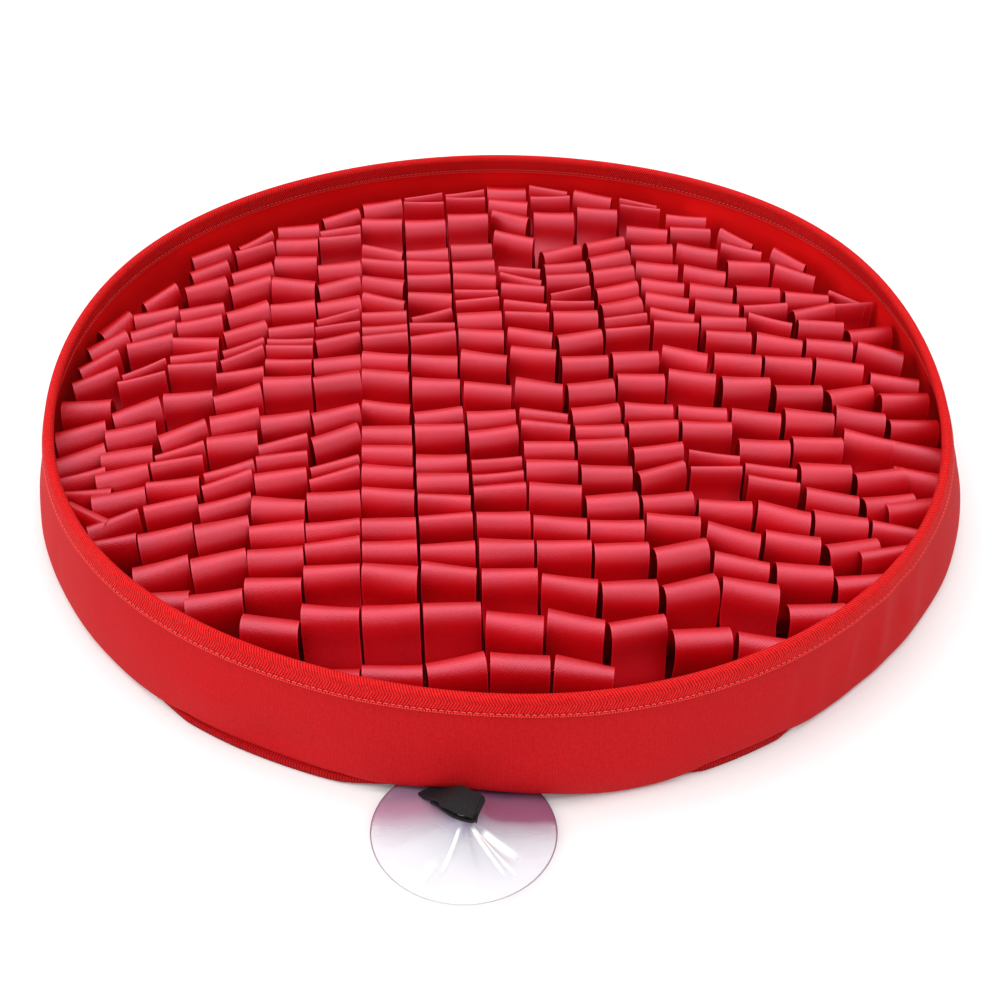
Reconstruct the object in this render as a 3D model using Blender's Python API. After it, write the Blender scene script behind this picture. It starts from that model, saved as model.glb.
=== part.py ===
"""A snuffle mat: a round cloth tray whose floor is covered with standing loops of satin ribbon.

Metres, +Z up. The origin is the centre of the floor's underside. The ribbons run along Y, and the
front of the mat, where a clear suction cup hangs on a webbing strap, is at -Y.
"""

import math
import random

import bpy
from mathutils import Matrix, Vector

MM = 0.001

# The tray.
RIM_RADIUS = 222.4 * MM  # outer face of the tape on the top edge
FOOT_RADIUS = 227.8 * MM  # outer face of the wall's lower edge
WALL_HEIGHT = 53.0 * MM  # with its tape
CLOTH = 2.0 * MM  # the wall and the floor
TAPE = 1.0 * MM
TAPE_LEG = 11.5 * MM  # how far the top tape reaches down each side
GAP = 0.35 * MM  # between pieces that touch
AROUND = 60  # sides of every ring
BULGE = 1.6 * MM
SEAM_TAPE_HEIGHT = 5.6 * MM
SEAM_TAPE_DEPTH = 1.9 * MM
SEAM_LIP = 0.3 * MM  # the least that the seam tape's lower edge stands out
FLOOR_RINGS = (0.84, 0.89, 0.945, 1.0)  # shares of the floor's radius

# Nothing round on a sewn mat is a true circle. Each row is a wave around the edge.
# (lobes, height in mm, direction of a crest in degrees)
RIM_WAVES = ((2, 0.9, 76), (3, 2.1, 43), (4, 2.3, 39), (6, 0.8, 30))
FOOT_WAVES = ((2, 1.7, 3), (3, 1.1, 88), (4, 0.7, 83), (5, 0.7, 52), (6, 0.4, 50), (7, 0.3, 26))

# Where the wall's lower edge rides up, and how far the seam tape then comes out from under it.
# (direction in degrees, rise in mm, spread in degrees, how far out in mm)
HEM_RISES = ((240, 7.5, 10, 3.7), (260.5, 4.2, 4.5, 0.0), (291.5, 7.5, 5, 3.0))
HEM_MOST = 4.2 * MM  # a higher rise is cut off flat here
HEM_ROOM = 0.6 * MM  # between the hem and the seam tape that comes out below it

# Soft dents (inwards, negative) and swellings of the wall.
# (direction in degrees, height in mm, depth in mm, length around in mm, length up in mm)
WALL_FOLDS = (
    (242, 14, -2.6, 26, 12),
    (234, 24, 1.6, 30, 16),
    (52, 24, -2.2, 24, 16),
    (63, 26, 1.8, 24, 16),
    (303, 24, -1.8, 20, 22),
    (313, 25, 1.6, 20, 18),
    (322, 24, -1.6, 20, 22),
    (272, 12, 1.6, 60, 14),
    (20, 22, -1.6, 40, 18),
    (148, 24, 1.4, 45, 20),
    (188, 26, -1.2, 30, 18),
)

# The suction cup. The mat lies on its back edge, so it is tipped up at the front.
CUP_X = -32.8 * MM
CUP_Y = -241.5 * MM
CUP_TILT = math.radians(-8.0)  # about X
CUP_ROLL = math.radians(1.5)  # about Y
CUP_SIDES = 24

# Half of the cup's section, from the middle of the hollow out to the rim and back up over the hub.
# (radius in mm, height in mm)
CUP_SECTION = (
    (0.0, 5.4), (7.0, 4.8), (14.0, 3.1), (22.0, 1.5), (29.5, 0.5), (34.2, 0.0),
    (35.6, 0.0), (35.6, 0.8), (32.6, 1.5), (27.0, 2.3), (20.0, 3.4), (13.0, 5.0), (8.0, 6.6), (3.2, 8.6),
    (2.8, 12.4), (4.2, 12.9), (4.7, 13.8), (4.0, 14.9), (0.0, 15.3),
)

# The place where the mat's front edge lies over the cup.
LIFT_X = -29.0 * MM
LIFT = 9.6 * MM
LIFT_BACK = -188.0 * MM  # where the floor leaves the ground
LIFT_FRONT = -226.0 * MM
LIFT_WIDTH = 64.0 * MM  # to each side

# The strap's middle line: from the mat under the hub's head, around its front, and back over it.
# (along in mm from the hub's axis to the mat, height in mm)
STRAP_THICK = 1.2 * MM
STRAP_LINE = (
    (14.5, 6.1), (10.5, 8.6), (5.5, 10.8), (-3.6, 11.0), (-5.3, 11.7), (-6.0, 13.7), (-5.4, 15.8),
    (-3.6, 16.5), (0.0, 16.6), (4.0, 16.3), (8.0, 13.8), (12.0, 10.4), (15.0, 8.2), (18.5, 5.7), (23.0, 4.1),
)
STRAP_WIDTHS = (9.6 * MM, 11.6 * MM)  # at its fold and at the mat
STRAP_HEADINGS = (156.0, 122.0)  # degrees, from the hub to the mat, at its fold and at the mat
STRAP_BEND = (-6.0, 14.0)  # along in mm, where its width and heading change from one to the other
STRAP_EYE_RADIUS = 3.7 * MM

# The ribbons, from left to right.
# (x in mm, width as it lies in mm, turn in degrees, first row of loops, last row of loops)
RIBBONS = (
    (-201.5, 23.0, 16, 7, 15),
    (-177.8, 23.0, 17, 5, 17),
    (-154.4, 23.0, 14, 3, 19),
    (-131.0, 23.0, 20, 2, 19),
    (-107.6, 23.0, 3, 2, 20),
    (-83.6, 23.4, 10, 1, 21),
    (-58.8, 24.0, -5, 1, 21),
    (-33.4, 24.4, 0, 0, 21),
    (-8.0, 24.4, -3, 0, 21),
    (17.5, 24.0, -13, 0, 21),
    (43.0, 24.0, 3, 0, 21),
    (69.0, 24.0, 5, 1, 20),
    (95.0, 24.0, -15, 1, 20),
    (121.0, 24.0, -14, 2, 19),
    (146.5, 23.4, -8, 3, 18),
    (171.5, 23.2, -6, 4, 17),
    (196.3, 23.0, -10, 6, 14),
)
RIBBON_THICK = 1.0 * MM
ROOT_WEDGE = 4.5 * MM  # how high two loops' legs are pressed together above their seam
LOOP_HEIGHT = 38.6 * MM  # middle of the ribbon at the fold
LOOP_SPREAD = 1.5 * MM  # by how much the heights differ
LOOP_HALF_DEPTH = 6.2 * MM  # widest a loop opens, half of it
FRONT_SQUEEZE = 0.04  # the right half's ribbons draw in by this share towards the front
SQUEEZE_START = -15.0 * MM
SQUEEZE_END = -110.0 * MM
WALL_REACH = 216.0 * MM  # a loop whose end would pass this circle is turned along the wall
TURN_RANGE = 8.0 * MM
MOST_TURN_BACK = math.radians(45)
MOST_TURN_FRONT = math.radians(30)
FLOOR_REACH = 219.0 * MM  # the ribbons' roots stay inside this circle
END_LEAN = 5.0 * MM  # from the end loops' folds out to their roots
ROOT_RISE = 1.6 * MM  # the ribbons' extra height where the floor slopes up on the cup

# Each row of loops is a wavy line across the mat, from the back row to the front row.
# (y in mm where x is -180, -105, 0, 105 and 180 mm)
ROW_PLACES = (-180.0 * MM, -105.0 * MM, 0.0, 105.0 * MM, 180.0 * MM)
ROWS = (
    (150, 188, 205, 188, 150),
    (138, 175, 194, 182, 140),
    (130, 158, 174, 171, 132),
    (124, 148, 140, 148, 124),
    (113, 127, 117, 130, 112),
    (97, 104, 104, 109, 99),
    (80, 83, 91, 90, 77),
    (66, 63, 78, 74, 62),
    (51, 49, 66, 58, 45),
    (33, 42, 49, 45, 26),
    (20, 28, 29, 20, 5),
    (-2, 11, 1, 0, -16),
    (-24, -17, -22, -26, -36),
    (-40, -36, -35, -43, -57),
    (-56, -50, -52, -64, -79),
    (-70, -63, -66, -76, -100),
    (-89, -79, -80, -99, -119),
    (-103, -98, -99, -117, -141),
    (-119, -113, -117, -136, -160),
    (-142, -131, -136, -156, -178),
    (-160, -154, -160, -184, -200),
    (-180, -185, -187, -200, -215),
)

# Loops that stand out from their row.
# (ribbon, row, shift in mm, turn in degrees)
STANDOUTS = (
    (1, 9, -1, 26), (2, 11, 0, 28), (3, 8, 0, 32), (4, 13, -1, 18), (5, 7, 1, 20), (5, 8, 5, 10),
    (5, 13, 1, 24), (6, 3, -6, -18), (6, 5, 0, -18), (6, 6, 0, -20), (6, 12, 6, -12), (7, 7, 0, 25),
    (7, 3, -6, 0), (8, 14, -5, 4), (9, 2, 2, -32), (9, 3, 4, -22), (9, 14, 3, -2), (10, 3, -10, 20),
    (10, 6, -3, 18), (10, 14, 5, 0), (10, 21, -9, 4), (11, 1, 0, -25), (11, 3, -7, 18), (11, 7, -1, 18),
    (11, 15, 2, 18), (12, 17, 0, -25), (13, 13, -5, -10), (14, 8, 1, -28), (15, 7, 0, 12),
    (15, 11, 0, 12), (16, 8, 0, 9), (16, 13, -2, -22),
)

# A loop's section: from the root behind it, up and over its fold, to the root in front.
# (share of its half depth, share of its height)
LOOP_SECTION = ((1.0, 0.70), (0.60, 0.975), (-0.45, 1.0), (-1.0, 0.74))


def clamp(value):
    return min(1.0, max(0.0, value))


def smooth(value):
    value = clamp(value)
    return value * value * (3.0 - 2.0 * value)


def waves(rows, angle):
    return sum(height * MM * math.cos(lobes * (angle - math.radians(crest))) for lobes, height, crest in rows)


def turned_apart(angle, degrees):
    """The angle between two directions, from -pi to pi."""
    return (angle - math.radians(degrees) + math.pi) % math.tau - math.pi


def cup_lift(x, y):
    """How high the mat's edge is held up where it lies over the cup."""
    along = (LIFT_BACK - y) / (LIFT_BACK - LIFT_FRONT)
    return LIFT * smooth(along) * smooth(1.0 - abs(x - LIFT_X) / LIFT_WIDTH)


def cup_pose():
    """The cup's own frame, whose rim lies in its XY plane, placed so that the rim just meets the ground."""
    leaning = Matrix.Rotation(CUP_TILT, 4, "X") @ Matrix.Rotation(CUP_ROLL, 4, "Y")
    rim = max(radius for radius, _ in CUP_SECTION) * MM
    rise = rim * math.sqrt(1.0 - leaning[2][2] ** 2)
    return Matrix.Translation((CUP_X, CUP_Y, rise)) @ leaning


def hem_rise(angle, degrees, rise, spread):
    """How high one of the hem's rises is in this direction."""
    off = abs(turned_apart(angle, degrees)) / math.radians(2 * spread)
    return min(HEM_MOST, rise * MM * smooth(1.0 - off))


def hem_height(angle):
    """The height of the wall's lower edge where nothing lifts the mat."""
    return 0.9 * MM + min(HEM_MOST, sum(hem_rise(angle, *row[:3]) for row in HEM_RISES))


def seam_out(angle):
    """How far the seam tape's lower edge stands out from its upper one."""
    out = sum(row[3] * MM * hem_rise(angle, *row[:3]) / HEM_MOST for row in HEM_RISES)
    return max(SEAM_LIP, out)


def wall_radius(angle, height):
    """The outer face of the wall."""
    foot = FOOT_RADIUS + waves(FOOT_WAVES, angle)
    rim = RIM_RADIUS - TAPE - GAP + waves(RIM_WAVES, angle)
    share = clamp(height / WALL_HEIGHT)
    radius = foot + (rim - foot) * share**1.3 + BULGE * math.sin(math.pi * share**0.6)
    for degrees, middle, depth, around, tall in WALL_FOLDS:
        off = turned_apart(angle, degrees) * radius / (around * MM / 2)
        up = (height - middle * MM) / (tall * MM / 2)
        radius += depth * MM * math.exp(-0.5 * (off * off + up * up))
    return radius


def floor_radius(angle):
    return wall_radius(angle, 0.0) - CLOTH - 2 * GAP - SEAM_TAPE_DEPTH - GAP


def ring_point(angle, radius, height):
    """A point on a ring around the mat, raised where the edge lies over the cup."""
    x, y = radius * math.cos(angle), radius * math.sin(angle)
    return Vector((x, y, height + cup_lift(x, y) * (1.0 - clamp(height / WALL_HEIGHT))))


def material(name, color, roughness, alpha=1.0, sheen=0.0, transmission=0.0):
    made = bpy.data.materials.new(name)
    made.use_nodes = True
    shader = made.node_tree.nodes["Principled BSDF"]
    shader.inputs["Base Color"].default_value = (*color, 1.0)
    shader.inputs["Metallic"].default_value = 0.0
    shader.inputs["Roughness"].default_value = roughness
    shader.inputs["Alpha"].default_value = alpha
    shader.inputs["Sheen Weight"].default_value = sheen
    shader.inputs["Transmission Weight"].default_value = transmission
    return made


def add_object(name, points, faces, finish):
    mesh = bpy.data.meshes.new(name)
    mesh.from_pydata([tuple(p) for p in points], [], faces)
    mesh.materials.append(finish)
    mesh.shade_smooth()
    mesh.set_sharp_from_angle(angle=math.radians(35))
    made = bpy.data.objects.new(name, mesh)
    bpy.context.scene.collection.objects.link(made)
    return made


def add_ring(name, sections, finish, first=0):
    """A closed ring from one section, a closed loop of points, at each angle.

    Each face is split in two at its first corner. Two rings that lie close together are split the same way.
    """
    count, corners = len(sections), len(sections[0])
    points = [p for section in sections for p in section]
    faces = []
    for i in range(count):
        j = (i + 1) % count
        for k in range(corners):
            m = (k + 1) % corners
            face = (i * corners + k, j * corners + k, j * corners + m, i * corners + m)
            faces.append(face[first:] + face[:first])
    return add_object(name, points, faces, finish)


def add_strip(name, sections, finish):
    """A strip of cloth from one section of four corners at each of its stations.

    Its two faces are split along the same diagonal, so that it keeps its thickness where it twists.
    """
    points = [p for section in sections for p in section]
    faces = [(0, 1, 2, 3)]
    for i in range(len(sections) - 1):
        for k in range(4):
            m = (k + 1) % 4
            face = (4 * i + m, 4 * i + k, 4 * i + 4 + k, 4 * i + 4 + m)
            faces.append(face[1:] + face[:1] if k == 2 else face)
    last = 4 * (len(sections) - 1)
    faces.append((last + 3, last + 2, last + 1, last))
    return add_object(name, points, faces, finish)


def angles():
    return [math.tau * i / AROUND for i in range(AROUND)]


def make_floor(finish):
    """The round panel that everything is sewn to, flat but for its front edge on the cup."""
    points, faces = [], []
    for height in (0.0, CLOTH):
        for share in FLOOR_RINGS:
            for angle in angles():
                radius = share * floor_radius(angle)
                x, y = radius * math.cos(angle), radius * math.sin(angle)
                points.append(Vector((x, y, height + cup_lift(x, y))))
    rings = len(FLOOR_RINGS)
    for side in (0, 1):
        start = side * rings * AROUND
        for r in range(rings - 1):
            for i in range(AROUND):
                j = (i + 1) % AROUND
                a, b = start + r * AROUND, start + (r + 1) * AROUND
                quad = (a + i, b + i, b + j, a + j)
                faces.append(quad if side else quad[::-1])
        middle = tuple(range(start, start + AROUND))
        faces.append(middle if side else middle[::-1])
    low, high = (rings - 1) * AROUND, (2 * rings - 1) * AROUND
    for i in range(AROUND):
        j = (i + 1) % AROUND
        faces.append((low + i, low + j, high + j, high + i))
    return add_object("floor_panel", points, faces, finish)


def make_wall(finish):
    """The band of cloth that stands around the floor and swells outwards low down."""
    top = WALL_HEIGHT - TAPE - GAP
    sections = []
    for angle in angles():
        hem = hem_height(angle)
        heights = (hem, hem + 4.0 * MM, 16.0 * MM, 28.0 * MM, WALL_HEIGHT - TAPE_LEG, top)
        outer = [ring_point(angle, wall_radius(angle, h), h) for h in heights]
        inner = [ring_point(angle, wall_radius(angle, h) - CLOTH, h) for h in heights]
        sections.append(inner[::-1] + outer)
    return add_ring("side_wall", sections, finish)


def make_top_tape(finish):
    """Tape folded over the wall's top edge, with a leg down each side."""
    low = WALL_HEIGHT - TAPE_LEG
    under = WALL_HEIGHT - TAPE
    sections = []
    for angle in angles():
        out_low = wall_radius(angle, low)
        out_high = wall_radius(angle, under - GAP)
        in_low, in_high = out_low - CLOTH, out_high - CLOTH
        outline = (
            (out_low + GAP, low), (out_low + GAP + TAPE, low), (out_high + GAP + TAPE, under - TAPE),
            (out_high + GAP / 2, WALL_HEIGHT), (in_high - GAP / 2, WALL_HEIGHT),
            (in_high - GAP - TAPE, under - TAPE), (in_low - GAP - TAPE, low), (in_low - GAP, low),
            (in_high - GAP, under), (out_high + GAP, under),
        )
        sections.append([ring_point(angle, radius, height) for radius, height in outline])
    return add_ring("top_binding", sections, finish, first=1)


def make_seam_tape(finish):
    """Tape over the seam of wall and floor, which shows where the wall's lower edge rides up."""
    low, high = GAP, GAP + SEAM_TAPE_HEIGHT
    sections = []
    for angle in angles():
        outer = wall_radius(angle, 0.0) - CLOTH - 2 * GAP
        inner = outer - SEAM_TAPE_DEPTH
        lip = outer + seam_out(angle)
        shelf = max(low + HEM_ROOM, hem_height(angle) - HEM_ROOM)
        outline = (
            (inner, low), (lip, low), (lip, shelf), (outer, shelf),
            (outer, high - 0.6 * MM), (outer - 0.8 * MM, high), (inner, high),
        )
        sections.append([ring_point(angle, radius, height) for radius, height in outline])
    return add_ring("seam_binding", sections, finish)


def row_y(row, x):
    """The row's line at x, smooth through its five places."""
    x = min(ROW_PLACES[-1] + 25 * MM, max(ROW_PLACES[0] - 25 * MM, x))
    heights = [value * MM for value in ROWS[row]]
    last = len(ROW_PLACES) - 1
    i = max(k for k in range(last) if k == 0 or ROW_PLACES[k] <= x)
    span = ROW_PLACES[i + 1] - ROW_PLACES[i]
    t = (x - ROW_PLACES[i]) / span

    def slope(k):
        a, b = max(k - 1, 0), min(k + 1, last)
        return (heights[b] - heights[a]) / (ROW_PLACES[b] - ROW_PLACES[a]) * span

    return (
        (2 * t**3 - 3 * t**2 + 1) * heights[i]
        + (t**3 - 2 * t**2 + t) * slope(i)
        + (3 * t**2 - 2 * t**3) * heights[i + 1]
        + (t**3 - t**2) * slope(i + 1)
    )


def loops_of(number):
    """Each loop of a ribbon, from back to front: x, y, turn and height of its fold."""
    chance = random.Random(100 + number)
    x, width, turn, first, last = RIBBONS[number]
    special = {row: (shift, own) for ribbon, row, shift, own in STANDOUTS if ribbon == number}
    loops = []
    for row in range(first, last + 1):
        y = row_y(row, x * MM) + chance.uniform(-1.2, 1.2) * MM
        angle = math.radians(turn + chance.uniform(-7.0, 7.0))
        height = LOOP_HEIGHT + chance.uniform(-1.0, 1.0) * LOOP_SPREAD
        if row in special:
            shift, own = special[row]
            y, angle = y + shift * MM, math.radians(own)
        squeeze = FRONT_SQUEEZE * smooth((SQUEEZE_START - y) / (SQUEEZE_START - SQUEEZE_END))
        place = x * MM * (1.0 - (squeeze if x > 0 else 0.0))
        half = width * MM / 2
        side = math.copysign(1.0, x)
        reach = math.hypot(place + side * half * math.cos(angle), y + side * half * math.sin(angle))
        over = clamp((reach - WALL_REACH) / TURN_RANGE)
        most = MOST_TURN_BACK if y > 0 else MOST_TURN_FRONT
        along_wall = math.copysign(min(most, math.atan(abs(place / y))), -x * y)
        angle += (along_wall - angle) * over
        end = Vector((place + side * half * math.cos(angle), y + side * half * math.sin(angle)))
        if end.length > WALL_REACH:
            room = half * (1.0 - math.cos(angle))
            place -= side * min(room, end.length - WALL_REACH)
        loops.append((place, y, angle, height))
    return loops


def station(middle, across, normal, width, below, above):
    """Four corners of a strip at one station."""
    left, right = middle - across * width / 2, middle + across * width / 2
    return [left - normal * below, right - normal * below, right + normal * above, left + normal * above]


def roots_of(number, loops):
    """Where a ribbon is sewn down, before, between and after its loops: x, y and turn."""
    half = RIBBONS[number][1] * MM / 2
    roots = []
    for k in range(len(loops) + 1):
        close = loops[max(0, k - 1) : k + 1]
        near = loops[max(0, k - 2) : k + 2]
        x = sum(loop[0] for loop in close) / len(close)
        turn = sum(loop[2] for loop in close) / len(close)
        if len(close) == 2:
            y = 0.3 * (close[0][1] + close[1][1]) + 0.4 * sum(loop[1] for loop in near) / len(near)
        else:
            y = close[0][1] + (END_LEAN if k == 0 else -END_LEAN)
        widest = abs(x) + half * math.cos(turn)
        tallest = math.sqrt(FLOOR_REACH**2 - widest**2) - half * abs(math.sin(turn))
        roots.append((x, max(-tallest, min(tallest, y)), turn))
    return roots


def half_depths(number, loops):
    """How far each loop opens to each side of its fold without meeting the next loop."""
    half = RIBBONS[number][1] * MM / 2
    depths = []
    for k, (_, y, turn, _) in enumerate(loops):
        depth = LOOP_HALF_DEPTH
        for _, other_y, other_turn, _ in loops[max(0, k - 1) : k] + loops[k + 1 : k + 2]:
            room = abs(y - other_y) - half * abs(math.sin(turn) - math.sin(other_turn))
            depth = min(depth, room / 2 - 1.3 * MM)
        depths.append(max(depth, 2.2 * MM))
    return depths


def ribbon_line(number):
    """The ribbon's middle line, root to root over each fold: points, turns and which are roots."""
    loops = loops_of(number)
    roots = roots_of(number, loops)
    depths = half_depths(number, loops)
    ground = CLOTH + GAP + RIBBON_THICK / 2
    line = []

    def add(x, y, z, turn, root=False):
        lift = cup_lift(x, y)
        line.append((Vector((x, y, z + lift + min(3 * lift, ROOT_RISE))), turn, root))

    for k, (fold_x, fold_y, fold_turn, height) in enumerate(loops):
        x, y, turn = roots[k]
        add(x, y, ground, turn, root=k > 0)
        for share, up in LOOP_SECTION:
            foot_turn = turn if share > 0 else roots[k + 1][2]
            own_turn = foot_turn + (fold_turn - foot_turn) * smooth(up)
            add(fold_x, fold_y + share * depths[k], height * up, own_turn)
    x, y, turn = roots[-1]
    add(x, y, ground, turn)
    return line


def make_ribbon(number, finish):
    """One length of ribbon, sewn down between its loops."""
    width = RIBBONS[number][1] * MM
    line = ribbon_line(number)
    half = RIBBON_THICK / 2
    sections = []
    for i, (point, turn, root) in enumerate(line):
        across = Vector((math.cos(turn), math.sin(turn), 0.0))
        before = (point - line[i - 1][0]) if i else (line[1][0] - point)
        after = (line[i + 1][0] - point) if i + 1 < len(line) else before
        one = across.cross(before).normalized()
        two = across.cross(after).normalized()
        normal = (one + two).normalized()
        miter = 1.0 / max(0.1, normal.dot(one))
        below = above = half * min(miter, 1.6)
        if root:
            below, above = min(half * miter, ROOT_WEDGE), half
            if normal.z > 0:
                below, above = above, below
        sections.append(station(point, across, normal, width, below, above))
    return add_strip(f"ribbon_{number + 1:02d}", sections, finish)


def make_cup(finish):
    """The clear cup: a flared disc, hollow below, with a headed hub."""
    points, rows = [], []
    for radius, height in CUP_SECTION:
        if radius == 0.0:
            rows.append([len(points)] * CUP_SIDES)
            points.append(Vector((0.0, 0.0, height * MM)))
            continue
        rows.append(list(range(len(points), len(points) + CUP_SIDES)))
        for i in range(CUP_SIDES):
            angle = math.tau * i / CUP_SIDES
            points.append(Vector((radius * MM * math.cos(angle), radius * MM * math.sin(angle), height * MM)))
    faces = []
    for low, high in zip(rows, rows[1:]):
        for i in range(CUP_SIDES):
            j = (i + 1) % CUP_SIDES
            corners = (low[i], low[j], high[j], high[i])
            faces.append(tuple(dict.fromkeys(corners)))
    pose = cup_pose()
    return add_object("suction_cup", [pose @ point for point in points], faces, finish)


def strap_station(along, up):
    """A point of the strap's middle line, its direction across and its width there."""
    share = smooth((along - STRAP_BEND[0]) / (STRAP_BEND[1] - STRAP_BEND[0]))
    heading = math.radians(STRAP_HEADINGS[0] + (STRAP_HEADINGS[1] - STRAP_HEADINGS[0]) * share)
    width = STRAP_WIDTHS[0] + (STRAP_WIDTHS[1] - STRAP_WIDTHS[0]) * share
    middle = Vector((math.cos(heading) * along * MM, math.sin(heading) * along * MM, up * MM))
    return middle, Vector((-math.sin(heading), math.cos(heading), 0.0)), width


def make_strap(finish):
    """Webbing from the mat under the hub's head, around its front and back over it."""
    line = [strap_station(along, up) for along, up in STRAP_LINE]
    pose = cup_pose()
    sections = []
    for i, (point, across, width) in enumerate(line):
        before = (point - line[i - 1][0]) if i else (line[1][0] - point)
        after = (line[i + 1][0] - point) if i + 1 < len(line) else before
        one, two = across.cross(before).normalized(), across.cross(after).normalized()
        normal = (one + two).normalized()
        half = STRAP_THICK / 2 / max(0.5, normal.dot(two))
        sections.append([pose @ corner for corner in station(point, across, normal, width, half, half)])
    strap = add_strip("cup_strap", sections, finish)
    eye = add_cylinder("strap_eye", STRAP_EYE_RADIUS, pose @ Vector((0.0, 0.0, 11.0 * MM)), 2.6 * MM, 12)
    cut = strap.modifiers.new("eye", "BOOLEAN")
    cut.object = eye
    cut.operation = "DIFFERENCE"
    return strap


def add_cylinder(name, radius, middle, height, sides):
    """A cutter, left out of the model."""
    points = []
    for side in (-0.5, 0.5):
        for i in range(sides):
            angle = math.tau * i / sides
            x, y = radius * math.cos(angle), radius * math.sin(angle)
            points.append(Vector((middle[0] + x, middle[1] + y, middle[2] + side * height)))
    faces = [tuple(range(sides))[::-1], tuple(range(sides, 2 * sides))]
    for i in range(sides):
        j = (i + 1) % sides
        faces.append((i, j, sides + j, sides + i))
    mesh = bpy.data.meshes.new(name)
    mesh.from_pydata([tuple(p) for p in points], [], faces)
    made = bpy.data.objects.new(name, mesh)
    bpy.context.scene.collection.objects.link(made)
    made.hide_render = True
    made.display_type = "WIRE"
    return made


def main():
    for old in list(bpy.data.objects):
        bpy.data.objects.remove(old, do_unlink=True)
    oxford = material("red_oxford", (0.48, 0.02, 0.03), 0.75, sheen=0.2)
    lining = material("floor_cloth", (0.28, 0.005, 0.012), 0.85)
    tape = material("herringbone_tape", (0.58, 0.02, 0.03), 0.7)
    dark_tape = material("seam_tape", (0.24, 0.005, 0.012), 0.8)
    webbing = material("black_webbing", (0.02, 0.02, 0.022), 0.7)
    clear = material("clear_vinyl", (0.9, 0.88, 0.93), 0.08, transmission=0.9)
    make_floor(lining)
    make_wall(oxford)
    make_top_tape(tape)
    make_seam_tape(dark_tape)
    for number in range(len(RIBBONS)):
        satin = material(f"satin_ribbon_{number + 1:02d}", (0.66, 0.01, 0.035), 0.42, sheen=0.4)
        make_ribbon(number, satin)
    make_strap(webbing)
    make_cup(clear)


main()
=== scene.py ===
# %% [markdown]
# # A snuffle mat
# A snuffle mat is a shallow cloth tray, filled with loops of ribbon that a dog's food is hidden in.
# This one has a round floor, a soft wall with herringbone tape over its top edge, seventeen strips of
# satin ribbon sewn down loop by loop, and a clear suction cup on a webbing strap at the front.
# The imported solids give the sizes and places. Each cell below dresses one of them as the real piece.

# %% Load the frame
import math
import random

import bpy
import numpy as np
from mathutils import Matrix, Vector, noise


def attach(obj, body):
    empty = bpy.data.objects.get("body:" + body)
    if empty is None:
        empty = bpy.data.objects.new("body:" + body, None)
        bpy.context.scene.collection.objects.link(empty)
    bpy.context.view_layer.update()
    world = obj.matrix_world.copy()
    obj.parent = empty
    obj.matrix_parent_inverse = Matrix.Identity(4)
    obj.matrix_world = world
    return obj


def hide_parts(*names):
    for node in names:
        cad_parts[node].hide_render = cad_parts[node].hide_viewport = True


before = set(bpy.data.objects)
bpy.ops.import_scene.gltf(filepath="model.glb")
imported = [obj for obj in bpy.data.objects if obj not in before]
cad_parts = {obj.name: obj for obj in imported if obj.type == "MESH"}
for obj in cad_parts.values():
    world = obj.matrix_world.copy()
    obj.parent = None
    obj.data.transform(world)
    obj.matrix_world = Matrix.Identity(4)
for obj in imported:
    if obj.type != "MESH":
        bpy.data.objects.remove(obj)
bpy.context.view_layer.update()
bpy.ops.object.select_all(action="DESELECT")
MM = 0.001
print("solids:", len(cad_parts))

# %% [markdown]
# ## The camera
# The photograph looks down on the mat at about 41 degrees, from half a metre in front of it, so the
# front of the mat is drawn much larger than the back. A camera that is too far away flattens this, so
# its distance matters as much as its angle. The mat lies turned by 5 degrees, and the camera turns instead.

# %% Camera
CAMERA_PLACE = (-0.0468, -0.5386, 0.4357)
CAMERA_LENS = 47.7
CAMERA_HEADING = -5.0
CAMERA_DOWN = 41.37
CAMERA_ROLL = 0.836

camera_data = bpy.data.cameras.new("camera")
camera_data.lens = CAMERA_LENS
camera_data.sensor_width = 36.0
camera = bpy.data.objects.new("camera", camera_data)
bpy.context.scene.collection.objects.link(camera)
camera.matrix_world = (
    Matrix.Translation(CAMERA_PLACE)
    @ Matrix.Rotation(math.radians(CAMERA_HEADING), 4, "Z")
    @ Matrix.Rotation(math.radians(90.0 - CAMERA_DOWN), 4, "X")
    @ Matrix.Rotation(math.radians(CAMERA_ROLL), 4, "Z")
)
bpy.context.scene.camera = camera

# %% [markdown]
# ## The studio
# The mat was photographed on white, under a large soft light a little behind it. That light lies along
# the top of every fold and leaves the ribbons' front faces darker, which is what makes them look like satin.
# A wide area light does this. A weaker one from the left brightens that side of the wall.

# %% Floor and lights
FLOOR_SIZE = 6.0
FLOOR_COLOR = (0.90, 0.90, 0.90, 1.0)
WORLD_COLOR = (1.0, 1.0, 1.0, 1.0)
WORLD_STRENGTH = 0.34
# name: place, point that it faces, width and depth in m, power in W
LIGHTS = {
    "overhead": ((0.0, 0.20, 1.9), (0.0, 0.0, 0.0), (3.0, 3.2), 62.0),
    "left": ((-1.7, -0.4, 0.9), (0.0, 0.0, 0.03), (1.4, 1.2), 12.0),
    "front": ((0.5, -1.9, 1.0), (0.0, 0.0, 0.03), (1.6, 1.0), 9.0),
}

bpy.ops.mesh.primitive_plane_add(size=FLOOR_SIZE, location=(0.0, 0.0, 0.0))
floor = bpy.context.object
floor.name = "studio_floor"

world = bpy.data.worlds.new("studio")
world.use_nodes = True
world.node_tree.nodes["Background"].inputs["Color"].default_value = WORLD_COLOR
world.node_tree.nodes["Background"].inputs["Strength"].default_value = WORLD_STRENGTH
bpy.context.scene.world = world
bpy.context.scene.view_settings.view_transform = "Standard"

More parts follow.
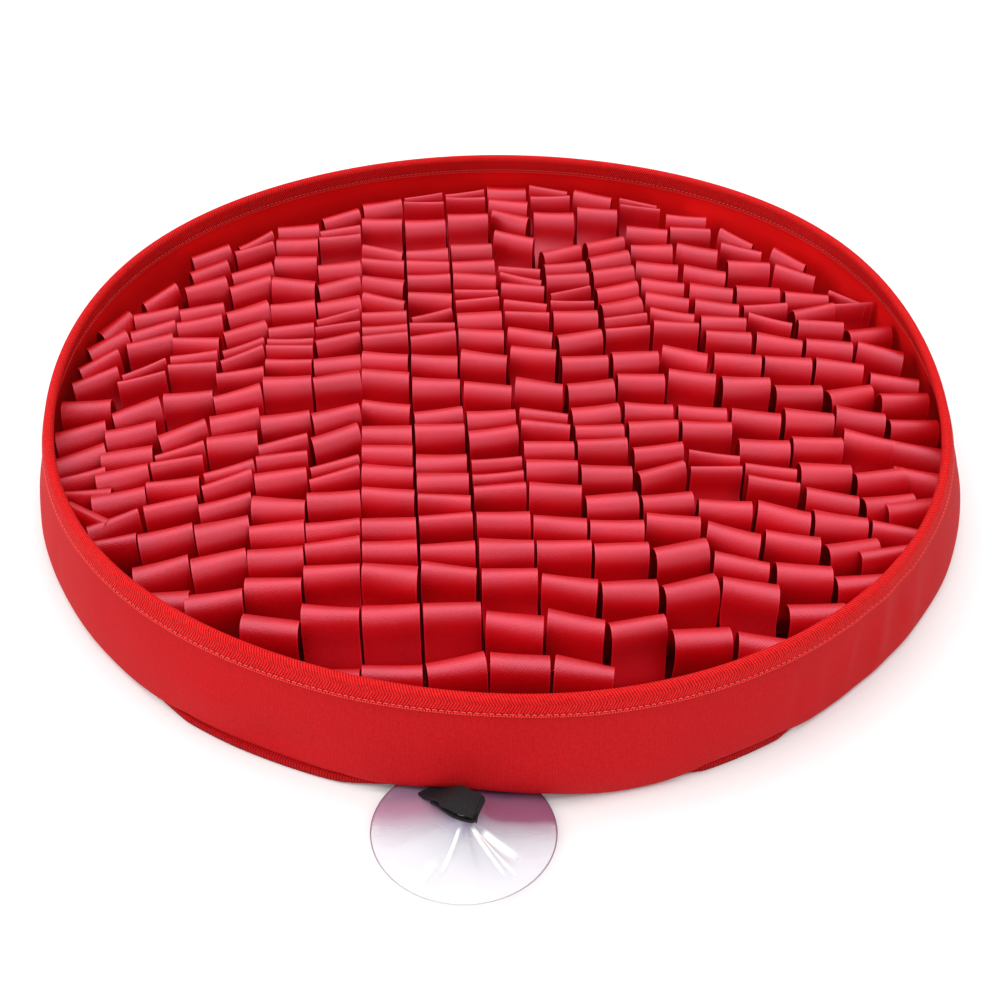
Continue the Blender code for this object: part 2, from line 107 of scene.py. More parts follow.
for light_name, (place, target, size, power) in LIGHTS.items():
    light_data = bpy.data.lights.new(light_name, "AREA")
    light_data.shape = "RECTANGLE"
    light_data.size, light_data.size_y = size
    light_data.energy = power
    light = bpy.data.objects.new(light_name, light_data)
    bpy.context.scene.collection.objects.link(light)
    light.location = place
    light.rotation_euler = (Vector(target) - Vector(place)).to_track_quat("-Z", "Y").to_euler()

# %% [markdown]
# ## Writing shader maths like Python
# A weave is a formula: two waves multiplied, a mask, a mix. Built node by node it is hard to read, so the
# class below wraps a socket and lets + - * / build the Math nodes. `Paint.node` makes every other node.

# %% A number in a shader
class Number:
    """A number that a shader works out, written as in Python."""

    def __init__(self, paint, socket):
        self.paint = paint
        self.socket = socket

    def math(self, operation, *others):
        return self.paint.number("ShaderNodeMath", {"operation": operation}, dict(enumerate((self, *others))))

    def __add__(self, other):
        return self.math("ADD", other)

    def __mul__(self, other):
        return self.math("MULTIPLY", other)

    def __sub__(self, other):
        return self.math("SUBTRACT", other)

    def __truediv__(self, other):
        return self.math("DIVIDE", other)

    def __rsub__(self, other):
        return (self * -1.0) + other

    __radd__ = __add__
    __rmul__ = __mul__

    def sin(self):
        return self.math("SINE")

    def abs(self):
        return self.math("ABSOLUTE")

    def modulo(self, other):
        return self.math("FLOORED_MODULO", other)

    def power(self, other):
        return self.math("POWER", other)

    def most(self, other):
        return self.math("MAXIMUM", other)

    def least(self, other):
        return self.math("MINIMUM", other)

    def step(self, low, high):
        """0 below low, 1 above high and smooth between."""
        settings = {"interpolation_type": "SMOOTHSTEP"}
        return self.paint.number("ShaderNodeMapRange", settings, {0: self, 1: low, 2: high, 3: 0.0, 4: 1.0})


# %% A material and its nodes
class Paint:
    """One material and its nodes."""

    def __init__(self, name, **fixed):
        self.material = bpy.data.materials.new(name)
        self.material.use_nodes = True
        self.nodes = self.material.node_tree.nodes
        self.links = self.material.node_tree.links
        self.shader = self.nodes["Principled BSDF"]
        for socket, value in fixed.items():
            self.shader.inputs[socket.replace("_", " ").title().replace("Ior", "IOR")].default_value = value

    def node(self, kind, settings=None, sockets=None):
        made = self.nodes.new(kind)
        for setting, value in (settings or {}).items():
            setattr(made, setting, value)
        for socket, value in (sockets or {}).items():
            if isinstance(value, Number):
                value = value.socket
            if isinstance(value, bpy.types.NodeSocket):
                self.links.new(value, made.inputs[socket])
            else:
                made.inputs[socket].default_value = value
        return made

    def number(self, kind, settings=None, sockets=None):
        return Number(self, self.node(kind, settings, sockets).outputs[0])

    def place(self, kind="Object"):
        """The three coordinates of a point on the piece, or of its flat cloth with kind UV."""
        coordinates = self.node("ShaderNodeTexCoord").outputs[kind]
        split = self.node("ShaderNodeSeparateXYZ", sockets={0: coordinates})
        return [Number(self, split.outputs[i]) for i in range(3)]

    def noise(self, scale, detail):
        coordinates = self.node("ShaderNodeTexCoord").outputs["Object"]
        sockets = {"Vector": coordinates, "Scale": scale, "Detail": detail}
        return self.number("ShaderNodeTexNoise", None, sockets)

    def blend(self, factor, low, high):
        """A colour between two colours."""
        made = self.node("ShaderNodeMix", {"data_type": "RGBA"}, {0: factor, 6: low, 7: high})
        return made.outputs[2]

    def bump(self, height, distance, strength):
        """The surface's direction where it stands up by height times distance."""
        sockets = {"Height": height, "Distance": distance, "Strength": strength}
        return self.node("ShaderNodeBump", None, sockets).outputs[0]

    def feed(self, **sources):
        for socket, value in sources.items():
            value = value.socket if isinstance(value, Number) else value
            self.links.new(value, self.shader.inputs[socket.replace("_", " ").title()])


def rgb(red, green, blue):
    """A colour as it is read off a screen, from 0 to 255, for a shader."""
    parts = (red / 255.0, green / 255.0, blue / 255.0)
    return (*((part / 12.92 if part < 0.04045 else ((part + 0.055) / 1.055) ** 2.4) for part in parts), 1.0)

# %% [markdown]
# ## Cloth as a grid
# Every cloth piece here is a grid of points: along the cloth one way and across it the other. Keeping the
# grid gives each corner its place on the flat cloth, in metres, as its UV. A weave drawn in UV then follows
# every fold, and never slides or stretches where the cloth turns.

# %% Mesh helpers
def cloth_grid(name, grid, flat, finish, around=False, tube=False):
    """A mesh over a grid of points. flat holds each corner's place on the flat cloth, in metres.

    around closes the grid's first direction on itself and tube its second. flat then has one more row or
    column than the grid, so that the pattern doesn't run back on itself.
    """
    rows, columns = grid.shape[:2]
    faces = []
    corners = []
    for i in range(rows if around else rows - 1):
        for k in range(columns if tube else columns - 1):
            places = [(i, k), (i + 1, k), (i + 1, k + 1), (i, k + 1)]
            faces.append([(a % rows) * columns + b % columns for a, b in places])
            corners.extend(places)
    mesh = bpy.data.meshes.new(name)
    mesh.from_pydata(grid.reshape(-1, 3).tolist(), [], faces)
    index = np.array(corners)
    layer = mesh.uv_layers.new(name="flat")
    layer.data.foreach_set("uv", flat[index[:, 0], index[:, 1]].astype(np.float32).ravel())
    made = bpy.data.objects.new(name, mesh)
    bpy.context.scene.collection.objects.link(made)
    made.data.materials.append(finish.material)
    return made


def only(piece):
    """Selects one piece alone and makes it the active one."""
    bpy.ops.object.select_all(action="DESELECT")
    piece.select_set(True)
    bpy.context.view_layer.objects.active = piece


def thicken(piece, thickness):
    """Gives a sheet its thickness, half to each side."""
    only(piece)
    bpy.ops.object.modifier_add(type="SOLIDIFY")
    solid = piece.modifiers[-1]
    solid.thickness = thickness
    solid.offset = 0.0
    solid.use_even_offset = True
    bpy.ops.object.modifier_apply(modifier=solid.name)


def smooth_shade(piece, degrees=40.0):
    only(piece)
    bpy.ops.object.shade_smooth_by_angle(angle=math.radians(degrees))


# %% Helpers that finish a piece, copy a shape or ease a value
def settle(piece, slot, *nodes):
    """The piece rides with the mat and stands for its solids, which it hides. slot is not used."""
    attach(piece, "root")
    if nodes:
        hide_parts(*nodes)
    print(piece.name, len(piece.data.polygons), "faces")


def scatter(name, shape, places, finish):
    """One mesh with a copy of a small shape at each place, which is a 4 by 4 matrix."""
    points = np.array([v.co for v in shape.data.vertices])
    polygons = [list(p.vertices) for p in shape.data.polygons]
    all_points, all_faces = [], []
    for place in places:
        matrix = np.array(place)
        base = len(points) * len(all_points)
        all_points.append(points @ matrix[:3, :3].T + matrix[:3, 3])
        all_faces.extend([[base + i for i in face] for face in polygons])
    mesh = bpy.data.meshes.new(name)
    mesh.from_pydata(np.concatenate(all_points).tolist(), [], all_faces)
    mesh.shade_smooth()
    made = bpy.data.objects.new(name, mesh)
    bpy.context.scene.collection.objects.link(made)
    made.data.materials.append(finish.material)
    bpy.data.objects.remove(shape)
    return made


def clamp(value):
    return min(1.0, max(0.0, value))


def smooth(value):
    value = clamp(value)
    return value * value * (3.0 - 2.0 * value)


def curve_points(a, b, c, d, count):
    """Points of a Bezier curve from a to d, without its first point."""
    t = np.linspace(0.0, 1.0, count + 1)[1:, None, None]
    return (1 - t) ** 3 * a + 3 * (1 - t) ** 2 * t * b + 3 * (1 - t) * t**2 * c + t**3 * d

# %% [markdown]
# ## The wall
# The wall is one band of stiff woven cloth, two layers thick, sewn upright around the floor. It would be a
# plain cylinder, but cloth never is: it swells out low down where the floor pushes it, its edge runs in slow
# waves, and where it was folded for shipping it keeps dents and upright creases. The band is worked out as a
# radius for each direction and height, so each of these is one more term in a sum.

# %% The wall's shape
RIM_RADIUS = 220.5 * MM
FOOT_RADIUS = 227.8 * MM
WALL_HEIGHT = 53.0 * MM
CLOTH = 2.0 * MM
TAPE = 1.0 * MM
TAPE_LEG = 11.5 * MM
OUTER_LEG = 8.8 * MM  # the tape reaches less far down outside
GAP = 0.35 * MM
BULGE = 1.6 * MM
AROUND = 540  # sides of every ring

# lobes around the mat, height in mm, direction of a crest in degrees
RIM_WAVES = ((1, 1.6, 90), (2, 0.5, 32), (3, 2.1, 43), (4, 2.3, 39), (6, 0.8, 30))
FOOT_WAVES = ((2, 1.7, 3), (3, 1.1, 88), (4, 0.7, 83), (5, 0.7, 52), (6, 0.4, 50), (7, 0.3, 26))

# where the hem rides up, and the seam tape comes out from under it:
# direction in degrees, rise in mm, spread in degrees, how far out in mm
HEM_RISES = ((240, 7.5, 10, 3.7), (260.5, 2.8, 4.0, 0.0), (291.5, 7.5, 5, 3.0))
HEM_MOST = 4.2 * MM

# direction in degrees, height in mm, depth in mm (inwards is negative), size around and up in mm
WALL_FOLDS = (
    (242, 14, -2.6, 26, 12),
    (234, 24, 1.6, 30, 16),
    (52, 24, -2.2, 24, 16),
    (63, 26, 1.8, 24, 16),
    (303, 24, -1.4, 20, 22),
    (308.5, 24, -2.0, 13, 24),
    (311.3, 26, 1.4, 10, 20),
    (314.3, 25, -2.0, 13, 22),
    (322, 24, -1.6, 20, 22),
    (272, 12, 1.6, 60, 14),
    (261, 3, 2.2, 44, 12),
    (20, 22, -1.6, 40, 18),
    (148, 24, 1.4, 45, 20),
    (188, 26, -1.2, 30, 18),
)
# the same for the narrow creases that only show in the cloth, and their slant in mm around for each mm up
CREASES = (
    (298, 22, -0.9, 5, 20, 0.10),
    (301, 20, 0.7, 4, 18, -0.05),
    (306, 24, 0.8, 5, 16, 0.15),
    (310, 20, -0.8, 5, 18, 0.05),
    (316, 22, -0.7, 4, 16, -0.20),
    (319, 24, 0.7, 5, 18, 0.00),
    (48, 26, -0.8, 5, 16, 0.20),
    (56, 28, 0.8, 5, 14, -0.10),
    (60, 24, -0.8, 4, 16, 0.10),
    (68, 26, 0.6, 6, 14, -0.20),
    (238, 8, -0.6, 14, 5, 0.30),
    (247, 10, 0.6, 12, 5, -0.30),
    (205, 20, -0.5, 8, 20, 0.10),
    (126, 22, -0.6, 6, 18, 0.15),
    (98, 24, 0.6, 7, 16, -0.10),
    (345, 22, -0.6, 6, 16, 0.10),
    (170, 20, 0.5, 8, 18, 0.10),
)
RIPPLE = 0.45 * MM  # how far the cloth wanders where nothing folds it
RIPPLE_SIZE = 24.0 * MM
print("folds and creases in the wall:", len(WALL_FOLDS) + len(CREASES))

# %% Where the mat's front edge lies over the suction cup
LIFT_X = -29.0 * MM
LIFT = 7.8 * MM
LIFT_BACK = -188.0 * MM
LIFT_FRONT = -226.0 * MM
LIFT_WIDTH = 64.0 * MM


def cup_lift(x, y):
    """How high the mat's edge is held up where it lies over the suction cup."""
    along = (LIFT_BACK - y) / (LIFT_BACK - LIFT_FRONT)
    return LIFT * smooth(along) * smooth(1.0 - abs(x - LIFT_X) / LIFT_WIDTH)


# %% How the wall runs around the mat
def waves(rows, angle):
    return sum(height * MM * math.cos(lobes * (angle - math.radians(crest))) for lobes, height, crest in rows)


def turned_apart(angle, degrees):
    return (angle - math.radians(degrees) + math.pi) % math.tau - math.pi


def hem_rise(angle, degrees, rise, spread):
    off = abs(turned_apart(angle, degrees)) / math.radians(2 * spread)
    return min(HEM_MOST, rise * MM * smooth(1.0 - off))


def hem_height(angle):
    return 0.9 * MM + min(HEM_MOST, sum(hem_rise(angle, *row[:3]) for row in HEM_RISES))


def wall_radius(angle, height):
    """The outer face of the wall, with its soft folds."""
    foot = FOOT_RADIUS + waves(FOOT_WAVES, angle)
    rim = RIM_RADIUS - TAPE - GAP + waves(RIM_WAVES, angle)
    share = clamp(height / WALL_HEIGHT)
    radius = foot + (rim - foot) * share**1.3 + BULGE * math.sin(math.pi * share**0.6)
    for degrees, middle, depth, around, tall in WALL_FOLDS:
        off = turned_apart(angle, degrees) * radius / (around * MM / 2)
        up = (height - middle * MM) / (tall * MM / 2)
        radius += depth * MM * math.exp(-0.5 * (off * off + up * up))
    return radius


def wall_detail(angle, height):
    """The creases and ripples, which die out under the tape and at the hem."""
    radius = FOOT_RADIUS
    detail = 0.0
    for degrees, middle, depth, around, tall, slant in CREASES:
        up = (height - middle * MM) / (tall * MM / 2)
        off = (turned_apart(angle, degrees) * radius - slant * (height - middle * MM)) / (around * MM / 2)
        if abs(off) < 4.0:
            detail += depth * MM * math.exp(-0.5 * (off * off + up * up))
    place = Vector((math.cos(angle) * radius, math.sin(angle) * radius, height * 0.7)) / RIPPLE_SIZE
    detail += RIPPLE * noise.noise(place)
    return detail * smooth(height / (6 * MM)) * smooth((WALL_HEIGHT - TAPE_LEG + 2 * MM - height) / (8 * MM))


# %% A closed band around the mat
def ring_point(angle, radius, height):
    """A point around the mat, raised where the edge lies over the cup."""
    x, y = radius * math.cos(angle), radius * math.sin(angle)
    return (x, y, height + cup_lift(x, y) * (1.0 - clamp(height / WALL_HEIGHT)))


def ring(name, section, finish, widths):
    """A closed band around the mat. section(angle) gives its outline there as radii and heights.

    widths are the places of the outline's points across the flat cloth, with the first again at the end.
    """
    turns = [math.tau * i / AROUND for i in range(AROUND)]
    grid = np.array([[ring_point(angle, r, h) for r, h in section(angle)] for angle in turns])
    along = np.linspace(0.0, math.tau * FOOT_RADIUS, AROUND + 1)
    flat = np.stack(np.broadcast_arrays(along[:, None], np.array(widths)[None, :]), axis=-1)
    return cloth_grid(name, grid, flat, finish, around=True, tube=True)


def outline_lengths(outline):
    """How far along a closed outline each point lies, with the whole length at the end."""
    points = np.array([*outline, outline[0]])
    steps = np.linalg.norm(np.diff(points, axis=0), axis=1)
    return np.concatenate([[0.0], np.cumsum(steps)])

# %% [markdown]
# ## Cloth that is woven
# Up close the wall is plain weave: each thread goes over one and under the next. The formula is a product
# of two waves, one for each set of threads. It drives a bump map, and darkens the holes between the threads
# a little. A slow noise over it stands for uneven dye, handling and the paler, rubbed tops of the threads.

# %% Woven finishes
THREAD = 0.62 * MM  # from one thread of the wall's cloth to the next
WALL_FLAT = (math.tau * (RIM_RADIUS + FOOT_RADIUS) / 2, 0.0520)


def plain_weave(name, color, shade, thread, roughness, painted_inside_light=None):
    """Plain weave in its thread's colour, with its shade between the threads, and perhaps painted light: a
    brighter colour painted on the wall's inside face.
    """
    paint = Paint(name, roughness=roughness, specular_ior_level=0.15)
    along, across, _ = paint.place("UV")
    weave = (along * (math.tau / thread / 2)).sin() * (across * (math.tau / thread / 2)).sin()
    high = weave.abs()
    uneven = paint.noise(18.0, 3.0).step(0.30, 0.72)
    slub = paint.noise(900.0, 2.0).step(0.25, 0.80)
    paler = (*(min(1.0, part * 1.18) for part in color[:3]), 1.0)
    worn = paint.blend(uneven * 0.35, color, paler)
    cloth = paint.blend((high * 0.75 + slub * 0.35).least(1.0), shade, worn)
    # Painted light: the wall's inside face gets a brighter colour, standing in for the light that reaches the
    # inside.
    if painted_inside_light:
        cloth = paint.blend(across.step(WALL_FLAT[1] - 1.0 * MM, WALL_FLAT[1] + 1.0 * MM), cloth, painted_inside_light)
    paint.feed(base_color=cloth)
    paint.feed(normal=paint.bump(high + slub * 0.5, 0.12 * MM, 0.55))
    return paint


# The last colour is painted light on the wall's inside face.
wall_cloth = plain_weave("red_oxford", rgb(206, 20, 28), rgb(172, 4, 10), THREAD, 0.75, rgb(250, 14, 18))
# The floor's darker red is painted shade, for the same cloth seen in shadow between the loops.
floor_cloth = plain_weave("floor_cloth", rgb(142, 12, 22), rgb(100, 4, 12), THREAD, 0.78)

# %% Build the wall
WALL_STEPS = (0.0, 0.8, 2.0, 4.0, 7.0, 10.0, 13.0, 16.0, 20.0, 24.0, 28.0, 32.0, 36.0, 40.0, 44.0, 48.0, 51.6)
HEM_ROUND = 0.9 * MM


def wall_section(angle):
    """Up the outside from the hem, over the top and down the inside."""
    hem = hem_height(angle)
    top = WALL_STEPS[-1] * MM
    heights = [hem + step * MM * (top - hem) / top for step in WALL_STEPS]
    outer, inner = [], []
    for height in heights:
        radius = wall_radius(angle, height) + wall_detail(angle, height)
        pinch = HEM_ROUND * max(0.0, 1.0 - (height - hem) / (2 * MM)) * 0.6
        outer.append((radius - pinch, height))
        inner.append((radius - CLOTH + pinch, height))
    middle = wall_radius(angle, hem) - CLOTH / 2
    return [(middle, hem - HEM_ROUND * 0.5), *outer, *inner[::-1]]


wall = ring("wall_band", wall_section, wall_cloth, outline_lengths(wall_section(0.0)))
smooth_shade(wall, 50.0)
settle(wall, "red_oxford", "side_wall")

# %% [markdown]
# ## Herringbone tape over the edge
# The wall's raw top edge is bound: a tape is folded over it, a little further down inside than outside, and
# sewn through with one line of stitches close to its lower edges. Its weave is herringbone: columns of
# slanting ribs that lean left and right in turn. In the formula each column flips the slant, so the ribs
# meet in chevrons.

# %% Tape finish
RIB = 1.25 * MM  # from rib to rib along the tape
COLUMN = 5.6 * MM  # width of one column of ribs
EDGE_BAND = 1.5 * MM  # the firm woven edge


def herringbone(name, color, shade, width):
    """Herringbone twill over a tape of this width, with a firm ribbed band at each edge."""
    paint = Paint(name, roughness=0.75, specular_ior_level=0.08)
    along, across, _ = paint.place("UV")
    column = (across / COLUMN).modulo(2.0) - 1.0
    slant = column.abs() * COLUMN
    ribs = ((along + slant * 0.50) * (math.tau / RIB)).sin() * 0.5 + 0.5
    threads = (across * (math.tau / (0.85 * MM))).sin() * 0.5 + 0.5
    from_edge = across.least(width - across)
    body = from_edge.step(EDGE_BAND * 0.9, EDGE_BAND * 1.1)
    edge_ribs = (along * (math.tau / RIB)).sin() * 0.5 + 0.5
    high = ribs * (threads * 0.50 + 0.50) * body + edge_ribs * (1.0 - body)
    groove_and_shade = 1.0 - (from_edge - EDGE_BAND).abs().step(0.2 * MM, 0.6 * MM)
    slub = paint.noise(700.0, 2.0).step(0.25, 0.80)
    uneven = paint.noise(26.0, 3.0).step(0.30, 0.72)
    paler = (*(min(1.0, part * 1.25 + 0.01) for part in color[:3]), 1.0)
    rubbed = paint.blend(uneven * 0.4, color, paler)
    # The groove beside each edge band is sunk in the bump and also darkened in the colour: painted shade.
    tone = (high * 1.10 + slub * 0.25 - groove_and_shade * 0.45).most(0.0).least(1.0)
    paint.feed(base_color=paint.blend(tone, shade, rubbed))
    paint.feed(normal=paint.bump(high - groove_and_shade, 0.40 * MM, 0.9))
    return paint


TAPE_WIDTH = 23.3 * MM
SEAM_TAPE_WIDTH = 11.0 * MM
rim_tape = herringbone("herringbone_tape", rgb(255, 38, 38), rgb(146, 0, 6), TAPE_WIDTH)
hem_tape = herringbone("seam_tape", rgb(196, 8, 16), rgb(120, 0, 4), SEAM_TAPE_WIDTH)
thread = Paint("sewing_thread", base_color=rgb(250, 84, 80), roughness=0.5)

# %% Fold the tape over the edge
LEG_STEPS = (0.0, 0.3, 0.8, 1.3, 1.7, 2.1, 2.8, 4.0, 5.4, 6.8, 8.0, 8.9)
CROWN = 2.6 * MM  # how tall the rounded top is
STITCH_UP = 1.7 * MM  # the stitches' height above the tape's edge
STITCH_SINK = 0.22 * MM
TAPE_LOW = WALL_HEIGHT - TAPE_LEG
OUTER_LOW = WALL_HEIGHT - OUTER_LEG
OUTER_SHARE = (OUTER_LEG - CROWN) / (TAPE_LEG - CROWN)


def sunk(up):
    """How deep the line of stitches pulls the tape in, this far above its edge."""
    return STITCH_SINK * math.exp(-(((up - STITCH_UP) / (0.6 * MM)) ** 2))


def tape_section(angle):
    """Up the outside, over the edge, down the inside, and back along the side that lies on the wall."""
    turns = [math.radians(a) for a in (18, 36, 54, 72, 90, 108, 126, 144, 162)]
    middle = wall_radius(angle, WALL_HEIGHT - CROWN) - CLOTH / 2
    half = CLOTH / 2 + GAP + TAPE
    outer, inner = [], []
    for step in LEG_STEPS:
        low, high = TAPE_LOW + step * MM, OUTER_LOW + step * OUTER_SHARE * MM
        edge = 0.25 * MM * max(0.0, 1.0 - step / 0.5)
        outer.append((wall_radius(angle, high) + GAP + TAPE - sunk(step * MM) - edge, high))
        inner.append((wall_radius(angle, low) - CLOTH - GAP - TAPE + sunk(step * MM) + edge, low))
    crown = [(middle + half * math.cos(a), WALL_HEIGHT - CROWN + CROWN * math.sin(a)) for a in turns]
    lining = []
    for step in (0.2, 4.0, 8.9):
        low, high = TAPE_LOW + step * MM, OUTER_LOW + step * OUTER_SHARE * MM
        inside = (wall_radius(angle, low) - CLOTH - GAP * 0.5, low)
        lining.append((inside, (wall_radius(angle, high) + GAP * 0.5, high)))
    under = [(middle + (half - TAPE) * math.cos(a), WALL_HEIGHT - CROWN + (CROWN - TAPE) * math.sin(a))
             for a in turns[::-2]]
    return outer + crown + inner[::-1] + [a for a, _ in lining] + under + [b for _, b in lining[::-1]]


def tape_widths():
    """Each point's place across the flat tape."""
    section = tape_section(0.0)
    face = 2 * len(LEG_STEPS) + 9
    lengths = outline_lengths(section)[:face]
    scaled = lengths / lengths[-1] * TAPE_WIDTH
    back = np.linspace(TAPE_WIDTH, 0.0, len(section) - face + 1)
    return np.concatenate([scaled, back])


tape = ring("rim_tape", tape_section, rim_tape, tape_widths())
smooth_shade(tape, 60.0)
settle(tape, "herringbone_tape", "top_binding")

# %% Stitches and the tape's beaded edge
STITCH = 2.1 * MM
STITCH_PITCH = 2.7 * MM
STITCH_LEAN = 0.06
BEAD_PITCH = 1.05 * MM


def small_shape(length, width, sides=8, rings=6):
    """A short rounded thread that lies along X."""
    bpy.ops.mesh.primitive_uv_sphere_add(segments=sides, ring_count=rings, radius=0.5)
    shape = bpy.context.object
    bpy.ops.transform.rotate(value=math.pi / 2, orient_axis="Y", center_override=(0.0, 0.0, 0.0))
    bpy.ops.object.transform_apply(location=False, rotation=True, scale=False)
    shape.scale = (length, width, width)
    bpy.ops.object.transform_apply(location=False, rotation=False, scale=True)
    return shape


def along_ring(pitch, out, height, lean=0.0):
    """A place every so often around the mat, out from the wall's face, turned to follow it."""
    leaning = Matrix.Rotation(lean, 4, "Y")
    count = round(math.tau * RIM_RADIUS / pitch)
    places = []
    for i in range(count):
        angle = math.tau * i / count
        radius = wall_radius(angle, height) + out
        ahead = angle + 0.002
        start = Vector(ring_point(angle, radius, height))
        direction = Vector(ring_point(ahead, wall_radius(ahead, height) + out, height)) - start
        turn = math.atan2(direction.y, direction.x)
        places.append(Matrix.Translation(start) @ Matrix.Rotation(turn, 4, "Z") @ leaning)
    return places


outer_line = OUTER_LOW + STITCH_UP * OUTER_SHARE
stitch_places = along_ring(STITCH_PITCH, GAP + TAPE - STITCH_SINK, outer_line, STITCH_LEAN)
inner_line = TAPE_LOW + STITCH_UP
stitch_places += along_ring(STITCH_PITCH, -CLOTH - GAP - TAPE + STITCH_SINK, inner_line, STITCH_LEAN)
tape_stitches = scatter("tape_stitches", small_shape(STITCH, 0.42 * MM), stitch_places, thread)
settle(tape_stitches, "herringbone_tape")

bead_places = along_ring(BEAD_PITCH, GAP + TAPE * 0.62, OUTER_LOW + 0.15 * MM)
bead_places += along_ring(BEAD_PITCH, -CLOTH - GAP - TAPE * 0.62, TAPE_LOW + 0.15 * MM)
tape_beads = scatter("tape_edge_beads", small_shape(0.92 * MM, 0.78 * MM, 6, 4), bead_places, thread)
settle(tape_beads, "herringbone_tape")

# %% [markdown]
# ## The seam tape at the foot
# The wall and the floor meet in a seam that is bound with a narrower tape. The wall's hem hides it, except
# at the front left and front right, where the hem rides up and a dark red line shows below it.

# %% Seam tape
SEAM_HEIGHT = 5.6 * MM
SEAM_DEPTH = 1.9 * MM
SEAM_LIP = 0.3 * MM  # the least that its lower edge stands out
HEM_ROOM = 0.6 * MM


def seam_section(angle):
    """A fold of tape whose lower edge comes out from under the wall where the hem leaves it room."""
    outer = wall_radius(angle, 0.0) - CLOTH - 2 * GAP
    inner = outer - SEAM_DEPTH
    out = sum(row[3] * MM * hem_rise(angle, *row[:3]) / HEM_MOST for row in HEM_RISES)
    lip = outer + max(SEAM_LIP, out)
    low, high, round_off = GAP, GAP + SEAM_HEIGHT, 0.4 * MM
    shelf = max(low + HEM_ROOM, hem_height(angle) - HEM_ROOM)
    return [
        (inner, low + round_off), (inner + round_off, low),
        (lip - round_off / 2, low), (lip, low + round_off / 2), (lip + 0.1 * MM, (low + shelf) / 2),
        (lip, shelf - round_off / 2), (lip - round_off / 2, shelf),
        (outer, shelf), (outer, high - round_off), (outer - round_off, high),
        (inner + round_off, high), (inner, high - round_off),
    ]


seam = ring("seam_tape", seam_section, hem_tape, outline_lengths(seam_section(0.0)))
smooth_shade(seam, 60.0)
settle(seam, "seam_tape", "seam_binding")

# %% [markdown]
# ## The floor
# The floor is a round panel of the same cloth, painted a darker red as painted shade: it shows between the
# loops only as shadow, but from below it is the whole mat. Its front edge curves up where it lies over the
# suction cup.

# %% Floor panel
FLOOR_SHARES = (0.004, 0.25, 0.50, 0.70, 0.80, 0.84, 0.87, 0.90, 0.925, 0.95, 0.97, 0.985, 0.996)


def floor_radius(angle):
    return wall_radius(angle, 0.0) - CLOTH - 2 * GAP - SEAM_DEPTH - GAP


def floor_outline(angle):
    """From the middle of the underside out to the edge, and back over the upper side."""
    edge = floor_radius(angle)
    low = [(share * edge, 0.0) for share in FLOOR_SHARES]
    high = [(share * edge, CLOTH) for share in FLOOR_SHARES]
    return low + [(edge, CLOTH * 0.3), (edge, CLOTH * 0.7)] + high[::-1]


def floor_point(angle, radius, height):
    x, y = radius * math.cos(angle), radius * math.sin(angle)
    return (x, y, height + cup_lift(x, y))


turns = [math.tau * i / AROUND for i in range(AROUND + 1)]
floor_grid = np.array([[floor_point(a, r, h) for r, h in floor_outline(a)] for a in turns])
panel = cloth_grid("floor_cloth_panel", floor_grid[:-1], floor_grid[:, :, :2], floor_cloth, around=True)
only(panel)
bpy.ops.object.mode_set(mode="EDIT")
bpy.ops.mesh.select_all(action="DESELECT")
bpy.ops.mesh.select_mode(type="EDGE")
bpy.ops.mesh.select_non_manifold()
bpy.ops.mesh.fill_holes(sides=0)
bpy.ops.object.mode_set(mode="OBJECT")
smooth_shade(panel, 50.0)
settle(panel, "floor_cloth", "floor_panel")
floor_area = math.pi * floor_radius(0.0) ** 2
2 * floor_radius(0.0)
2 * floor_radius(0.0)
